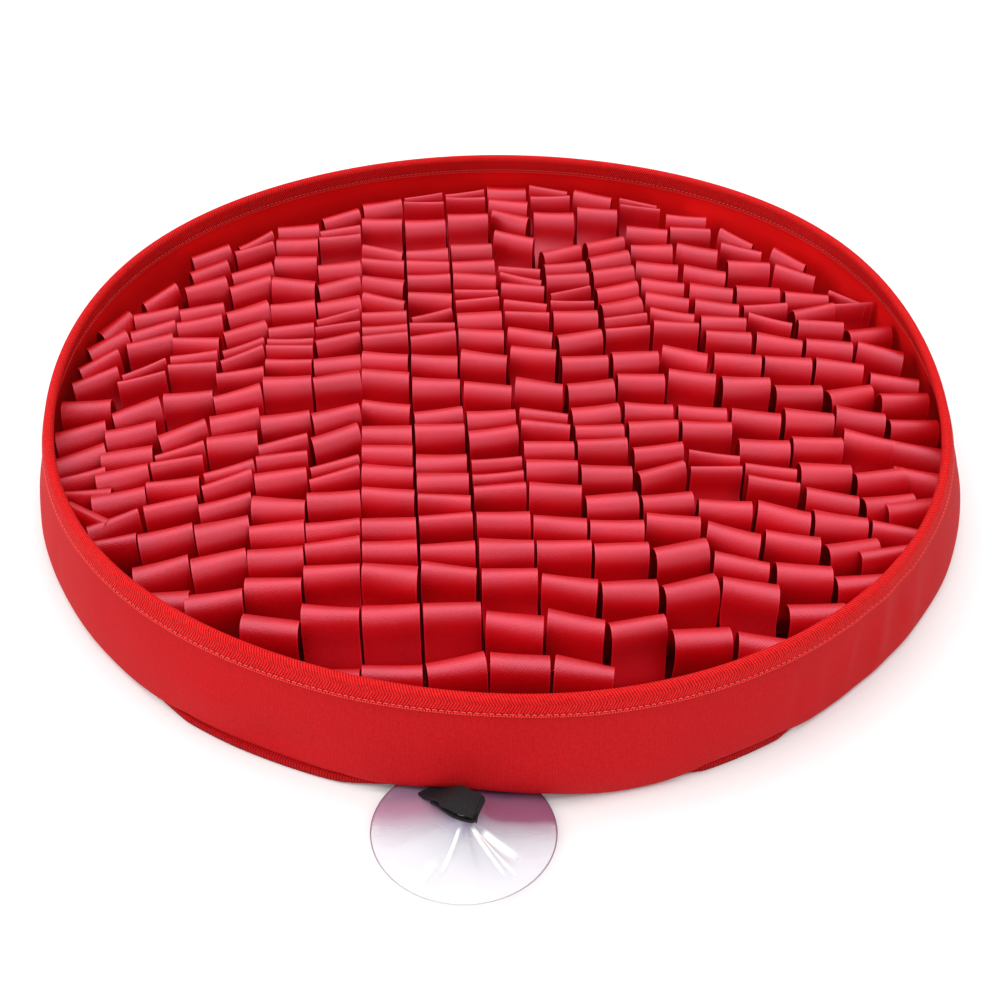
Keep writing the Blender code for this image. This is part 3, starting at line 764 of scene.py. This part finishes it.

# %% [markdown]
# ## Ribbon, loop by loop
# Each strip is one length of satin ribbon. It is sewn to the floor, stands up in a loop, comes down and is
# sewn again. No two loops are alike: the sewing wanders, and each one turns a little on its seam. So the
# table gives, for every loop, where its fold lies and how far it is turned, read off the photograph.
# The rest is one curve: up from the seam, over a round fold, and down to the next seam.

# %% The ribbons' table
# x in mm, and for each loop from back to front: y of its fold in mm, turn in degrees
RIBBONS = (
    (-205.5, (
        (70, 60), (52, 45), (36, 45), (23, 30), (-2, 0), (-22, 18), (-40, 25), (-57, 16), (-70, 0),
        (-88, -35))),
    (-181.2, (
        (97, 50), (80, 16), (65, 22), (52, 16), (27, 32), (18, 16), (-6, 27), (-24, 14), (-40, 7), (-56, 18),
        (-70, 14), (-88, 32), (-101, 9))),
    (-156.8, (
        (138, 33), (124, 38), (105, 28), (81, 20), (68, 15), (50, -3), (37, 7), (28, 7), (4, 7), (-25, 28),
        (-39, 25), (-49, 14), (-65, 5), (-78, 18), (-98, 16), (-118, 16), (-140, 2))),
    (-132.3, (
        (154, 41), (142, 30), (120, 24), (105, 26), (80, 27), (60, 28), (45, 33), (36, 30), (22, 7), (2, 20),
        (-16, 14), (-32, 7), (-55, 22), (-65, 24), (-78, 16), (-95, 16), (-115, 16), (-139, 8))),
    (-107.8, (
        (167, 7), (151, -2), (131, -5), (104, -10), (83, 7), (61, 7), (49, 0), (41, 0), (30, -7), (12, 5),
        (-16, 10), (-38, 18), (-49, 10), (-62, 10), (-81, -5), (-98, 5), (-113, 5), (-132, -2), (-156, -10))),
    (-83.0, (
        (180, 28), (163, 12), (153, 5), (120, 7), (104, 18), (85, 14), (68, 20), (60, 10), (48, 20), (30, 5),
        (13, 14), (-16, 18), (-34, 24), (-54, 20), (-63, 18), (-79, 5), (-98, 5), (-110, 5), (-126, 0),
        (-152, -5), (-186, -5))),
    (-58.0, (
        (192, 14), (172, -7), (136, -18), (123, -7), (104, -18), (84, -20), (70, -2), (58, 5), (48, 7),
        (30, -10), (15, -7), (-10, -12), (-30, -2), (-47, -5), (-61, -7), (-78, -7), (-98, 0), (-112, 0),
        (-129, -10), (-152, -2), (-185, -2))),
    (-32.5, (
        (198, 16), (191, 2), (169, 2), (133, 0), (120, -2), (108, 2), (88, -7), (70, 25), (58, 0), (47, 5),
        (28, -7), (7, -5), (-18, 7), (-32, 2), (-53, -5), (-69, -5), (-84, -7), (-96, 2), (-115, -2),
        (-129, -12), (-153, -2), (-184, 10))),
    (-6.7, (
        (203, 7), (196, -2), (172, 0), (140, 5), (119, 2), (104, -10), (90, -7), (82, 2), (66, 0), (50, -5),
        (27, -14), (0, -10), (-22, 2), (-36, 5), (-58, 5), (-67, 2), (-78, 0), (-98, -2), (-116, -5),
        (-133, -5), (-160, -12), (-184, -7))),
    (19.4, (
        (207, 0), (190, -16), (174, -32), (148, -22), (113, -14), (104, -20), (92, -12), (76, -18), (66, -7),
        (48, -16), (30, -16), (0, -14), (-23, -16), (-33, -16), (-48, -2), (-63, -5), (-80, -10), (-101, -7),
        (-117, -5), (-139, -14), (-162, -16), (-189, -18))),
    (45.4, (
        (203, -20), (193, -5), (173, -5), (132, 20), (114, 9), (101, 0), (86, 18), (77, 0), (63, -2), (44, 9),
        (22, 0), (-1, 7), (-20, 5), (-36, 2), (-48, 0), (-67, -2), (-88, 2), (-106, -7), (-120, -2),
        (-144, 0), (-166, 9), (-202, 4))),
    (72.0, (
        (193, -25), (174, -7), (140, 18), (122, 14), (106, 9), (90, 12), (74, 18), (58, 9), (49, 2), (23, 0),
        (4, -2), (-21, -7), (-36, -2), (-54, 5), (-68, 18), (-88, 5), (-105, -12), (-124, 9), (-146, 12),
        (-174, 0))),
    (98.6, (
        (182, -30), (175, -14), (149, -16), (132, -7), (112, -16), (93, -14), (78, -16), (62, -18), (50, -12),
        (24, -22), (4, -18), (-24, -9), (-37, -7), (-61, -12), (-69, -5), (-95, -12), (-115, -25),
        (-132, -20), (-149, -16), (-181, -14))),
    (125.0, (
        (164, -18), (151, -5), (128, -22), (105, -20), (86, -18), (70, -16), (53, -12), (40, -7), (17, -14),
        (-3, -7), (-29, -18), (-52, -10), (-71, -14), (-80, -14), (-103, -22), (-120, -18), (-140, -10),
        (-163, -5))),
    (151.0, (
        (140, -50), (127, -26), (109, -5), (84, -7), (66, 0), (53, -28), (33, -18), (14, -10), (-9, 0),
        (-32, -10), (-53, -5), (-74, -5), (-92, -16), (-108, -12), (-127, 9), (-148, 0))),
    (176.7, (
        (115, -55), (101, -34), (76, -7), (61, 12), (46, -9), (28, -14), (8, -18), (-13, 12), (-33, -16),
        (-53, -24), (-80, 5), (-98, 5), (-116, -20), (-140, 5))),
    (202.1, (
        (72, -50), (64, 0), (40, 9), (20, -28), (-5, -22), (-21, -2), (-41, -2), (-62, -22), (-83, -22),
        (-109, 5))),
)

# %% Where each loop stands
RIBBON_WIDTH = 24.0 * MM
RIBBON_THICK = 0.5 * MM
LOOP_HEIGHT = 36.6 * MM
LOOP_SPREAD = 1.2 * MM
LOOP_HALF_DEPTH = 6.8 * MM
LEAST_PITCH = 6.5 * MM  # two folds are never closer than this
LEAST_DEPTH = 2.0 * MM
FRONT_SQUEEZE = 0.035
SQUEEZE_START = -15.0 * MM
SQUEEZE_END = -110.0 * MM
FLOOR_REACH = 219.0 * MM
END_LEAN = 5.0 * MM
WALL_ROOM = 1.4 * MM  # between the wall's inside and a loop's end


def loops_of(number):
    """Each loop of a ribbon, from back to front: x, y, turn, height, roll, taper and sag of its fold."""
    chance = random.Random(300 + number)
    x, table = RIBBONS[number]
    ys = [y * MM for y, _ in table]
    for k in range(len(ys) - 1):
        close = LEAST_PITCH - (ys[k] - ys[k + 1])
        if close > 0:
            ys[k] += close / 2
            ys[k + 1] -= close / 2
    loops = []
    for y, (_, degrees) in zip(ys, table):
        turn = math.radians(degrees)
        squeeze = FRONT_SQUEEZE * smooth((SQUEEZE_START - y) / (SQUEEZE_START - SQUEEZE_END))
        place = x * MM * (1.0 - (squeeze if x > 0 else 0.0))
        fold = Vector((place, y))
        for side in (-1.0, 1.0):
            for depth in (-0.8, 0.8):
                across = Vector((math.cos(turn), math.sin(turn))) * side * RIBBON_WIDTH / 2
                end = fold + across + Vector((math.sin(turn), -math.cos(turn))) * depth * LOOP_HALF_DEPTH
                limit = wall_radius(math.atan2(end.y, end.x), LOOP_HEIGHT) - CLOTH - WALL_ROOM
                if end.length > limit:
                    fold -= end.normalized() * (end.length - limit)
        height = LOOP_HEIGHT + chance.uniform(-1.0, 1.0) * LOOP_SPREAD
        roll = chance.uniform(-0.7, 0.7) * MM
        taper = chance.uniform(-0.14, 0.14)
        sag = chance.uniform(-0.1, 0.5) * MM
        loops.append((fold.x, fold.y, turn, height, roll, taper, sag))
    return loops


# %% Where a ribbon is sewn down, and how far its loops open
def roots_of(loops):
    """Where a ribbon is sewn down, before, between and after its loops: x, y and turn."""
    half = RIBBON_WIDTH / 2
    roots = []
    for k in range(len(loops) + 1):
        close = loops[max(0, k - 1) : k + 1]
        near = loops[max(0, k - 2) : k + 2]
        x = sum(loop[0] for loop in close) / len(close)
        turn = sum(loop[2] for loop in close) / len(close)
        if len(close) == 2:
            y = 0.3 * (close[0][1] + close[1][1]) + 0.4 * sum(loop[1] for loop in near) / len(near)
        else:
            y = close[0][1] + (END_LEAN if k == 0 else -END_LEAN)
        widest = abs(x) + half * math.cos(turn)
        tallest = math.sqrt(max(0.0, FLOOR_REACH**2 - widest**2)) - half * abs(math.sin(turn))
        roots.append((x, max(-tallest, min(tallest, y)), turn))
    return roots


def half_depths(number, loops):
    """How far each loop opens to each side of its fold without meeting the next loop."""
    half = RIBBON_WIDTH / 2
    chance = random.Random(500 + number)
    depths = []
    for k, loop in enumerate(loops):
        depth = LOOP_HALF_DEPTH * chance.uniform(0.88, 1.06)
        for other in loops[max(0, k - 1) : k] + loops[k + 1 : k + 2]:
            room = abs(loop[1] - other[1]) - half * 0.8 * abs(math.sin(loop[2]) - math.sin(other[2]))
            depth = min(depth, room / 2 - 0.4 * MM)
        depths.append(max(depth, LEAST_DEPTH))
    return depths

# %% [markdown]
# ## The loop's curve
# The legs rise straight out of the seam and lean in or out to the shoulders, and two curves close the fold.
# Handles a little longer than a circle's keep the fold full at the front, as stiff satin does. The curve is
# worked out at once for seven lines across the ribbon, so that a loop can be higher or wider at one end.

# %% Shape the ribbons
SHOULDER = 0.70  # share of the loop's height where the legs end and the fold begins
SQUARENESS = 0.60  # handles of the fold's curves, 0.55 for a round one
SEAM_TURN = 0.55 * MM  # half of the gap between two legs at their seam
ACROSS = np.array((-1.0, -0.93, -0.5, 0.0, 0.5, 0.93, 1.0))
LEG_POINTS = 6
FOLD_POINTS = 7
UP = np.array((0.0, 0.0, 1.0))


def line_across(x, y, z, turn):
    """Points of one line across the ribbon, raised with the floor."""
    direction = np.array((math.cos(turn), math.sin(turn), 0.0))
    line = np.array((x, y, z)) + direction * ACROSS[:, None] * RIBBON_WIDTH / 2
    line[:, 2] += [cup_lift(px, py) for px, py in line[:, :2]]
    return line


def forward(turn):
    """Unit vector towards the front for something turned this far, half of its turn."""
    return np.array((math.sin(turn * 0.6), -math.cos(turn * 0.6), 0.0))


def ribbon_grid(number):
    """Rows of points across the ribbon, from its first seam to its last."""
    loops = loops_of(number)
    roots = roots_of(loops)
    depths = half_depths(number, loops)
    ground = CLOTH + RIBBON_THICK / 2 + 0.05 * MM
    rows = []
    for k, (x, y, turn, height, roll, taper, sag) in enumerate(loops):
        back_root, front_root = roots[k], roots[k + 1]
        depth = depths[k] * (1.0 + taper * ACROSS)[:, None]
        tall = (height + roll * ACROSS - sag * (1.0 - ACROSS**2))[:, None]
        ahead = forward(turn)
        middle = line_across(x, y, 0.0, turn)
        top = middle + ahead * depth * 0.1 + UP * tall
        back = middle - ahead * depth + UP * tall * SHOULDER
        front = middle + ahead * depth + UP * tall * SHOULDER
        rise = UP * tall * (1.0 - SHOULDER) * SQUARENESS
        start = line_across(back_root[0], back_root[1], ground, back_root[2])
        end = line_across(front_root[0], front_root[1], ground, front_root[2])
        rows.append(start)
        start = start + forward(back_root[2]) * SEAM_TURN + UP * SEAM_TURN
        end = end - forward(front_root[2]) * SEAM_TURN + UP * SEAM_TURN
        rows.append(start)
        leg = UP * tall * SHOULDER
        lines = [
            (start, start + leg * 0.40, back - leg * 0.30, back, LEG_POINTS),
            (back, back + rise, top - ahead * depth * SQUARENESS * 1.1, top, FOLD_POINTS),
            (top, top + ahead * depth * SQUARENESS * 0.9, front + rise, front, FOLD_POINTS),
            (front, front - leg * 0.30, end + leg * 0.40, end, LEG_POINTS),
        ]
        for a, b, c, d, count in lines:
            rows.extend(curve_points(a, b, c, d, count))
    x, y, turn = roots[-1]
    rows.append(line_across(x, y, ground, turn))
    return np.array(rows)


def make_ribbon(number, finish):
    """One strip of ribbon with all its loops."""
    grid = ribbon_grid(number)
    steps = np.linalg.norm(np.diff(grid.mean(axis=1), axis=0), axis=1)
    along = np.concatenate([[0.0], np.cumsum(steps)])
    flat = np.stack(np.broadcast_arrays(along[:, None], (ACROSS * RIBBON_WIDTH / 2)[None, :]), axis=-1)
    piece = cloth_grid(f"ribbon_loops_{number + 1:02d}", grid, flat, finish)
    thicken(piece, RIBBON_THICK)
    smooth_shade(piece, 60.0)
    settle(piece, "satin_ribbon", f"ribbon_{number + 1:02d}")
    return float(along[-1])

# %% [markdown]
# ## Satin
# Satin is woven so that long threads lie on its face. Light from above slides along them, and a fold shines
# in a broad pale band while the cloth just below it stays deep red. A low roughness with a strong, pink
# tinted shine gives the band, and fine slanting ribs break it up. Along the firm edges a thin highlight is
# painted into the colour.

# %% Satin finish and the ribbons
TWILL = 0.95 * MM  # from one slanting rib to the next


def satin(name, color, shade, edge_highlight):
    """Satin whose shine takes on the dye's pink, with a thin painted highlight along its firm edges."""
    paint = Paint(name, specular_ior_level=1.0)
    paint.shader.inputs["Specular Tint"].default_value = (1.0, 0.62, 0.85, 1.0)
    along, across, _ = paint.place("UV")
    ribs = ((along * 0.62 + across * 0.78) * (math.tau / TWILL)).sin() * 0.5 + 0.5
    threads = ((along * 0.9 - across * 0.35) * (math.tau / (TWILL * 0.8))).sin() * 0.5 + 0.5
    fibres = paint.noise(1400.0, 1.0).step(0.2, 0.8)
    cloudy = paint.noise(45.0, 2.0).step(0.3, 0.7)
    weave = (ribs * 0.65 + threads * 0.35).power(0.8)
    tone = (weave * 0.60 + fibres * 0.22 + cloudy * 0.18).least(1.0)
    edge = across.abs().step(RIBBON_WIDTH / 2 - 0.8 * MM, RIBBON_WIDTH / 2 - 0.3 * MM)
    body = paint.blend(tone, shade, color)
    # A thin painted highlight along both edges of the ribbon.
    paint.feed(base_color=paint.blend(edge * 0.35, body, edge_highlight))
    paint.feed(roughness=0.30 + fibres * 0.10)
    paint.feed(normal=paint.bump(weave + fibres * 0.25, 0.12 * MM, 0.8))
    return paint


# The last colour is the painted highlight along the ribbon's edges.
ribbon_satin = satin("satin_ribbon", rgb(220, 0, 13), rgb(158, 0, 3), rgb(236, 30, 50))
lengths = [make_ribbon(number, ribbon_satin) for number in range(len(RIBBONS))]
print("ribbon in all:", round(sum(lengths), 2), "m in", sum(len(table) for _, table in RIBBONS), "loops")

# %% [markdown]
# ## Stitches under the floor
# Every seam between two loops is sewn through the floor, and comes out below as a short row of stitches.
# Seventeen strips of them are all there is to see on the underside.

# %% Floor stitches
SEAM_STITCH = 2.4 * MM
SEAM_STITCHES = 8  # in each row across a ribbon
SEAM_STITCH_PITCH = 2.8 * MM

seam_places = []
for number in range(len(RIBBONS)):
    for x, y, turn in roots_of(loops_of(number)):
        for i in range(SEAM_STITCHES):
            off = (i - (SEAM_STITCHES - 1) / 2) * SEAM_STITCH_PITCH
            place = Vector((x + math.cos(turn) * off, y + math.sin(turn) * off, 0.0))
            place.z = 0.13 * MM + cup_lift(place.x, place.y)
            seam_places.append(Matrix.Translation(place) @ Matrix.Rotation(turn, 4, "Z"))
floor_thread = Paint("floor_thread", base_color=rgb(176, 24, 34), roughness=0.55)
stitch_shape = small_shape(SEAM_STITCH, 0.34 * MM, 6, 4)
floor_stitches = scatter("floor_stitches", stitch_shape, seam_places, floor_thread)
settle(floor_stitches, "floor_cloth")

# %% [markdown]
# ## The strap
# A short piece of black webbing comes out from under the mat, goes under the head of the cup's hub, around
# it, and back over it. It twists a little on the way. The hub's neck goes through an eye in the lower layer.

# %% Where the cup and the strap are
CUP_X = -32.8 * MM
CUP_Y = -241.5 * MM
CUP_TILT = math.radians(-8.0)  # about X: the mat lies on its back edge and tips it up in front
CUP_ROLL = math.radians(1.5)  # about Y
CUP_RADIUS = 35.6 * MM
STRAP_THICK = 1.2 * MM
# along in mm from the hub's axis towards the mat, and height in mm, in the cup's own frame
STRAP_LINE = (
    (14.5, 6.1), (10.5, 8.6), (5.5, 10.8), (-3.6, 11.0), (-5.3, 11.7), (-6.0, 13.7), (-5.4, 15.8),
    (-3.6, 16.5), (0.0, 16.6), (4.0, 16.3), (8.0, 13.6), (12.0, 10.0), (15.0, 7.6), (18.5, 5.0), (23.0, 3.6),
)
STRAP_WIDTHS = (9.6 * MM, 11.6 * MM)  # at its fold and at the mat
STRAP_HEADINGS = (156.0, 122.0)
STRAP_BEND = (-6.0, 14.0)
STRAP_DROOP = 3.0  # how far in mm the front edge of the upper layer hangs down
STRAP_EYE_RADIUS = 3.7 * MM
STRAP_EYE_UP = 11.0 * MM

leaning = Matrix.Rotation(CUP_TILT, 4, "X") @ Matrix.Rotation(CUP_ROLL, 4, "Y")
cup_rise = CUP_RADIUS * math.sqrt(1.0 - leaning[2][2] ** 2)
cup_pose = Matrix.Translation((CUP_X, CUP_Y, cup_rise)) @ leaning


def through(points, count):
    """A smooth line through points, with this many steps from each to the next."""
    points = np.array(points, dtype=float)
    ends = np.concatenate([[2 * points[0] - points[1]], points, [2 * points[-1] - points[-2]]])
    line = [points[0]]
    for a, b, c, d in zip(ends, ends[1:], ends[2:], ends[3:]):
        for t in np.linspace(0.0, 1.0, count + 1)[1:]:
            line.append(0.5 * (2 * b + (c - a) * t + (2 * a - 5 * b + 4 * c - d) * t**2
                               + (3 * b - a - 3 * c + d) * t**3))
    return np.array(line)

# %% The strap
ACROSS_STRAP = np.array((-1.0, -0.9, -0.45, 0.0, 0.45, 0.9, 1.0))


def webbing(name):
    """Black webbing with its ribs across it."""
    paint = Paint(name, roughness=0.7, specular_ior_level=0.2)
    along, across, _ = paint.place("UV")
    ribs = (along * (math.tau / (1.1 * MM))).sin() * 0.5 + 0.5
    cords = (across * (math.tau / (1.3 * MM))).sin().abs()
    fibres = paint.noise(1500.0, 2.0).step(0.25, 0.75)
    tone = ribs * 0.35 + cords * 0.35 + fibres * 0.3
    paint.feed(base_color=paint.blend(tone, rgb(12, 11, 12), rgb(40, 36, 39)))
    paint.feed(normal=paint.bump(ribs * 0.5 + cords, 0.15 * MM, 0.9))
    return paint


strap_rows = []
for along, up in through(STRAP_LINE, 5):
    share = smooth((along - STRAP_BEND[0]) / (STRAP_BEND[1] - STRAP_BEND[0]))
    heading = math.radians(STRAP_HEADINGS[0] + (STRAP_HEADINGS[1] - STRAP_HEADINGS[0]) * share)
    width = STRAP_WIDTHS[0] + (STRAP_WIDTHS[1] - STRAP_WIDTHS[0]) * share
    middle = Vector((math.cos(heading) * along * MM, math.sin(heading) * along * MM, up * MM))
    across = Vector((-math.sin(heading), math.cos(heading), 0.0))
    droop = STRAP_DROOP * MM * smooth((up - 12.0) / 3.0) * smooth((16.0 - along) / 8.0)
    hang = Vector((0.0, 0.0, droop))
    strap_rows.append([cup_pose @ (middle + across * side * width / 2 - hang * max(0.0, side) ** 2)
                       for side in ACROSS_STRAP])
strap_grid = np.array(strap_rows)
steps = np.linalg.norm(np.diff(strap_grid[:, 3], axis=0), axis=1)
strap_along = np.concatenate([[0.0], np.cumsum(steps)])
strap_flat = np.stack(
    np.broadcast_arrays(strap_along[:, None], (ACROSS_STRAP * STRAP_WIDTHS[1] / 2)[None, :]), axis=-1
)
strap = cloth_grid("webbing_strap", strap_grid, strap_flat, webbing("black_webbing"))
thicken(strap, STRAP_THICK)

bpy.ops.object.select_all(action="DESELECT")
bpy.ops.mesh.primitive_cylinder_add(vertices=32, radius=STRAP_EYE_RADIUS, depth=2.6 * MM)
eye = bpy.context.object
eye.matrix_world = cup_pose @ Matrix.Translation((0.0, 0.0, STRAP_EYE_UP))
only(strap)
bpy.ops.object.modifier_add(type="BOOLEAN")
strap.modifiers[-1].object = eye
strap.modifiers[-1].operation = "DIFFERENCE"
bpy.ops.object.modifier_apply(modifier=strap.modifiers[-1].name)
bpy.data.objects.remove(eye)
smooth_shade(strap, 50.0)
settle(strap, "black_webbing", "cup_strap")

# %% [markdown]
# ## The suction cup
# The cup is a turned shape: one line spun around the hub's axis. Soft vinyl doesn't stay that perfect, so
# after spinning, its skirt gets a few flutes where the strap pulls at the hub. Clear plastic on white shows
# mostly at its edges and where it reflects the red mat, so all of this is painted into its colour by
# distance:
# a painted reflection of the mat, painted shade under the mat's edge, a thin painted dark line at the rim and
# painted highlights along the flutes.

# %% Clear vinyl
# where the flutes shine: direction in degrees, from and to radius in mm, width in mm
GLINTS = ((-114, 4, 25, 0.9), (-60, 4, 29, 0.7), (-53, 4, 31, 0.8), (-41, 8, 26, 2.4), (-126, 20, 34, 2.4))


def clear_vinyl(name):
    """Nearly clear in front, with a painted purple reflection of the mat and painted shade under its edge
    towards the mat, and a thin painted dark line at the rim.
    """
    paint = Paint(name, roughness=0.09, ior=1.46, coat_weight=0.5)
    x, y, z = paint.place()
    left, back = x - CUP_X, y - CUP_Y
    radius = (left * left + back * back).power(0.5)
    wander = paint.noise(60.0, 2.0) * 0.006
    # Painted reflection of the red mat and painted shade where the cup lies under the mat's edge, growing
    # towards the back.
    right = left.step(-0.004, 0.010)
    near = (back + wander + left * 0.10).step(-0.003, 0.011)
    crisp_mat_reflection = (back + wander + left * 0.04).step(0.003, 0.006) * right
    shade_under_mat = (back + wander - left * 0.05).step(0.013, 0.022) * (left.step(0.004, 0.018) * 0.65 + 0.35)
    # Painted shade: a thin dark line along the rim, where the clear vinyl is seen edge-on.
    rim = radius.step(CUP_RADIUS - 0.4 * MM, CUP_RADIUS - 0.1 * MM)
    # A painted purple reflection on the hub.
    hub_reflection = 1.0 - radius.step(3.0 * MM, 11.0 * MM)
    turned = back.math("ARCTAN2", left)
    glint = None
    for degrees, start, end, width in GLINTS:
        off = (turned - math.radians(degrees)).abs() * radius
        reach = radius.step(start * MM, (start + 3.0) * MM) * (1.0 - radius.step((end - 6.0) * MM, end * MM))
        shine = (1.0 - off.step(width * MM * 0.3, width * MM)) * reach
        glint = glint.most(shine) if glint else shine
    # The vinyl's pale tint, with the painted reflection, shade and highlights blended over it.
    tint = paint.blend(near, rgb(226, 224, 234), rgb(186, 142, 170))
    tint = paint.blend(crisp_mat_reflection * 0.75, tint, rgb(140, 70, 104))
    tint = paint.blend(shade_under_mat, tint, rgb(92, 68, 104))
    tint = paint.blend(hub_reflection * 0.5, tint, rgb(168, 148, 188))
    tint = paint.blend(rim * 0.9, tint, rgb(124, 84, 104))
    tint = paint.blend(glint, tint, (1.0, 1.0, 1.0, 1.0))
    solid = near * 0.40 + crisp_mat_reflection * 0.25 + hub_reflection * 0.20 + rim * 0.50 + glint * 0.7 + 0.26
    paint.feed(base_color=tint, alpha=solid.least(0.94))
    return paint

# %% Spin the cup
# radius and height in mm, from the middle of the hollow out to the rim and back up over the hub
CUP_SECTION = (
    (0.0, 5.4), (7.0, 4.8), (14.0, 3.1), (22.0, 1.5), (29.5, 0.5), (34.2, 0.05),
    (35.6, 0.05), (35.6, 0.7), (32.6, 1.5), (27.0, 2.3), (20.0, 3.4), (13.0, 5.0), (8.0, 6.6), (3.4, 8.6),
    (2.8, 12.4), (4.2, 12.9), (4.7, 13.8), (4.0, 14.9), (0.0, 15.3),
)
# direction in degrees, depth in mm, width in degrees, from and to radius in mm
FLUTES = (
    (248, -0.9, 9, 6, 27), (262, 0.5, 7, 5, 22), (228, -0.6, 12, 8, 28), (285, -0.9, 8, 6, 27),
    (300, 0.6, 7, 6, 24), (314, -0.7, 10, 8, 27), (200, 0.4, 14, 8, 26),
)
SPIN_STEPS = 180

section = np.clip(through(CUP_SECTION, 3), 0.0, None)
profile = bpy.data.meshes.new("suction_cup_clear")
edges = [(i, i + 1) for i in range(len(section) - 1)]
profile.from_pydata([(r * MM, 0.0, h * MM) for r, h in section], edges, [])
cup = bpy.data.objects.new("suction_cup_clear", profile)
bpy.context.scene.collection.objects.link(cup)
only(cup)
bpy.ops.object.modifier_add(type="SCREW")
spin = cup.modifiers[-1]
spin.steps = spin.render_steps = SPIN_STEPS
spin.use_merge_vertices = True
spin.merge_threshold = 0.01 * MM
bpy.ops.object.modifier_apply(modifier=spin.name)
bpy.ops.object.mode_set(mode="EDIT")
bpy.ops.mesh.select_all(action="SELECT")
bpy.ops.mesh.normals_make_consistent(inside=False)
bpy.ops.object.mode_set(mode="OBJECT")

for vertex in cup.data.vertices:
    radius = math.hypot(vertex.co.x, vertex.co.y) / MM
    angle = math.atan2(vertex.co.y, vertex.co.x)
    for degrees, depth, wide, start, end in FLUTES:
        off = turned_apart(angle, degrees) / math.radians(wide / 2)
        reach = smooth((radius - start) / 5.0) * smooth((end - radius) / 9.0)
        vertex.co.z += depth * MM * math.exp(-0.5 * off * off) * reach
    vertex.co.z = max(vertex.co.z, 0.02 * MM)
    vertex.co = cup_pose @ vertex.co
cup.data.materials.append(clear_vinyl("clear_vinyl").material)
smooth_shade(cup, 40.0)
settle(cup, "clear_vinyl", "suction_cup")

# %% [markdown]
# ## Finish
# The studio's floor gets a plain pale finish.

# %% Finish
studio_white = Paint("studio_white", base_color=FLOOR_COLOR, roughness=0.9)
floor.data.materials.append(studio_white.material)
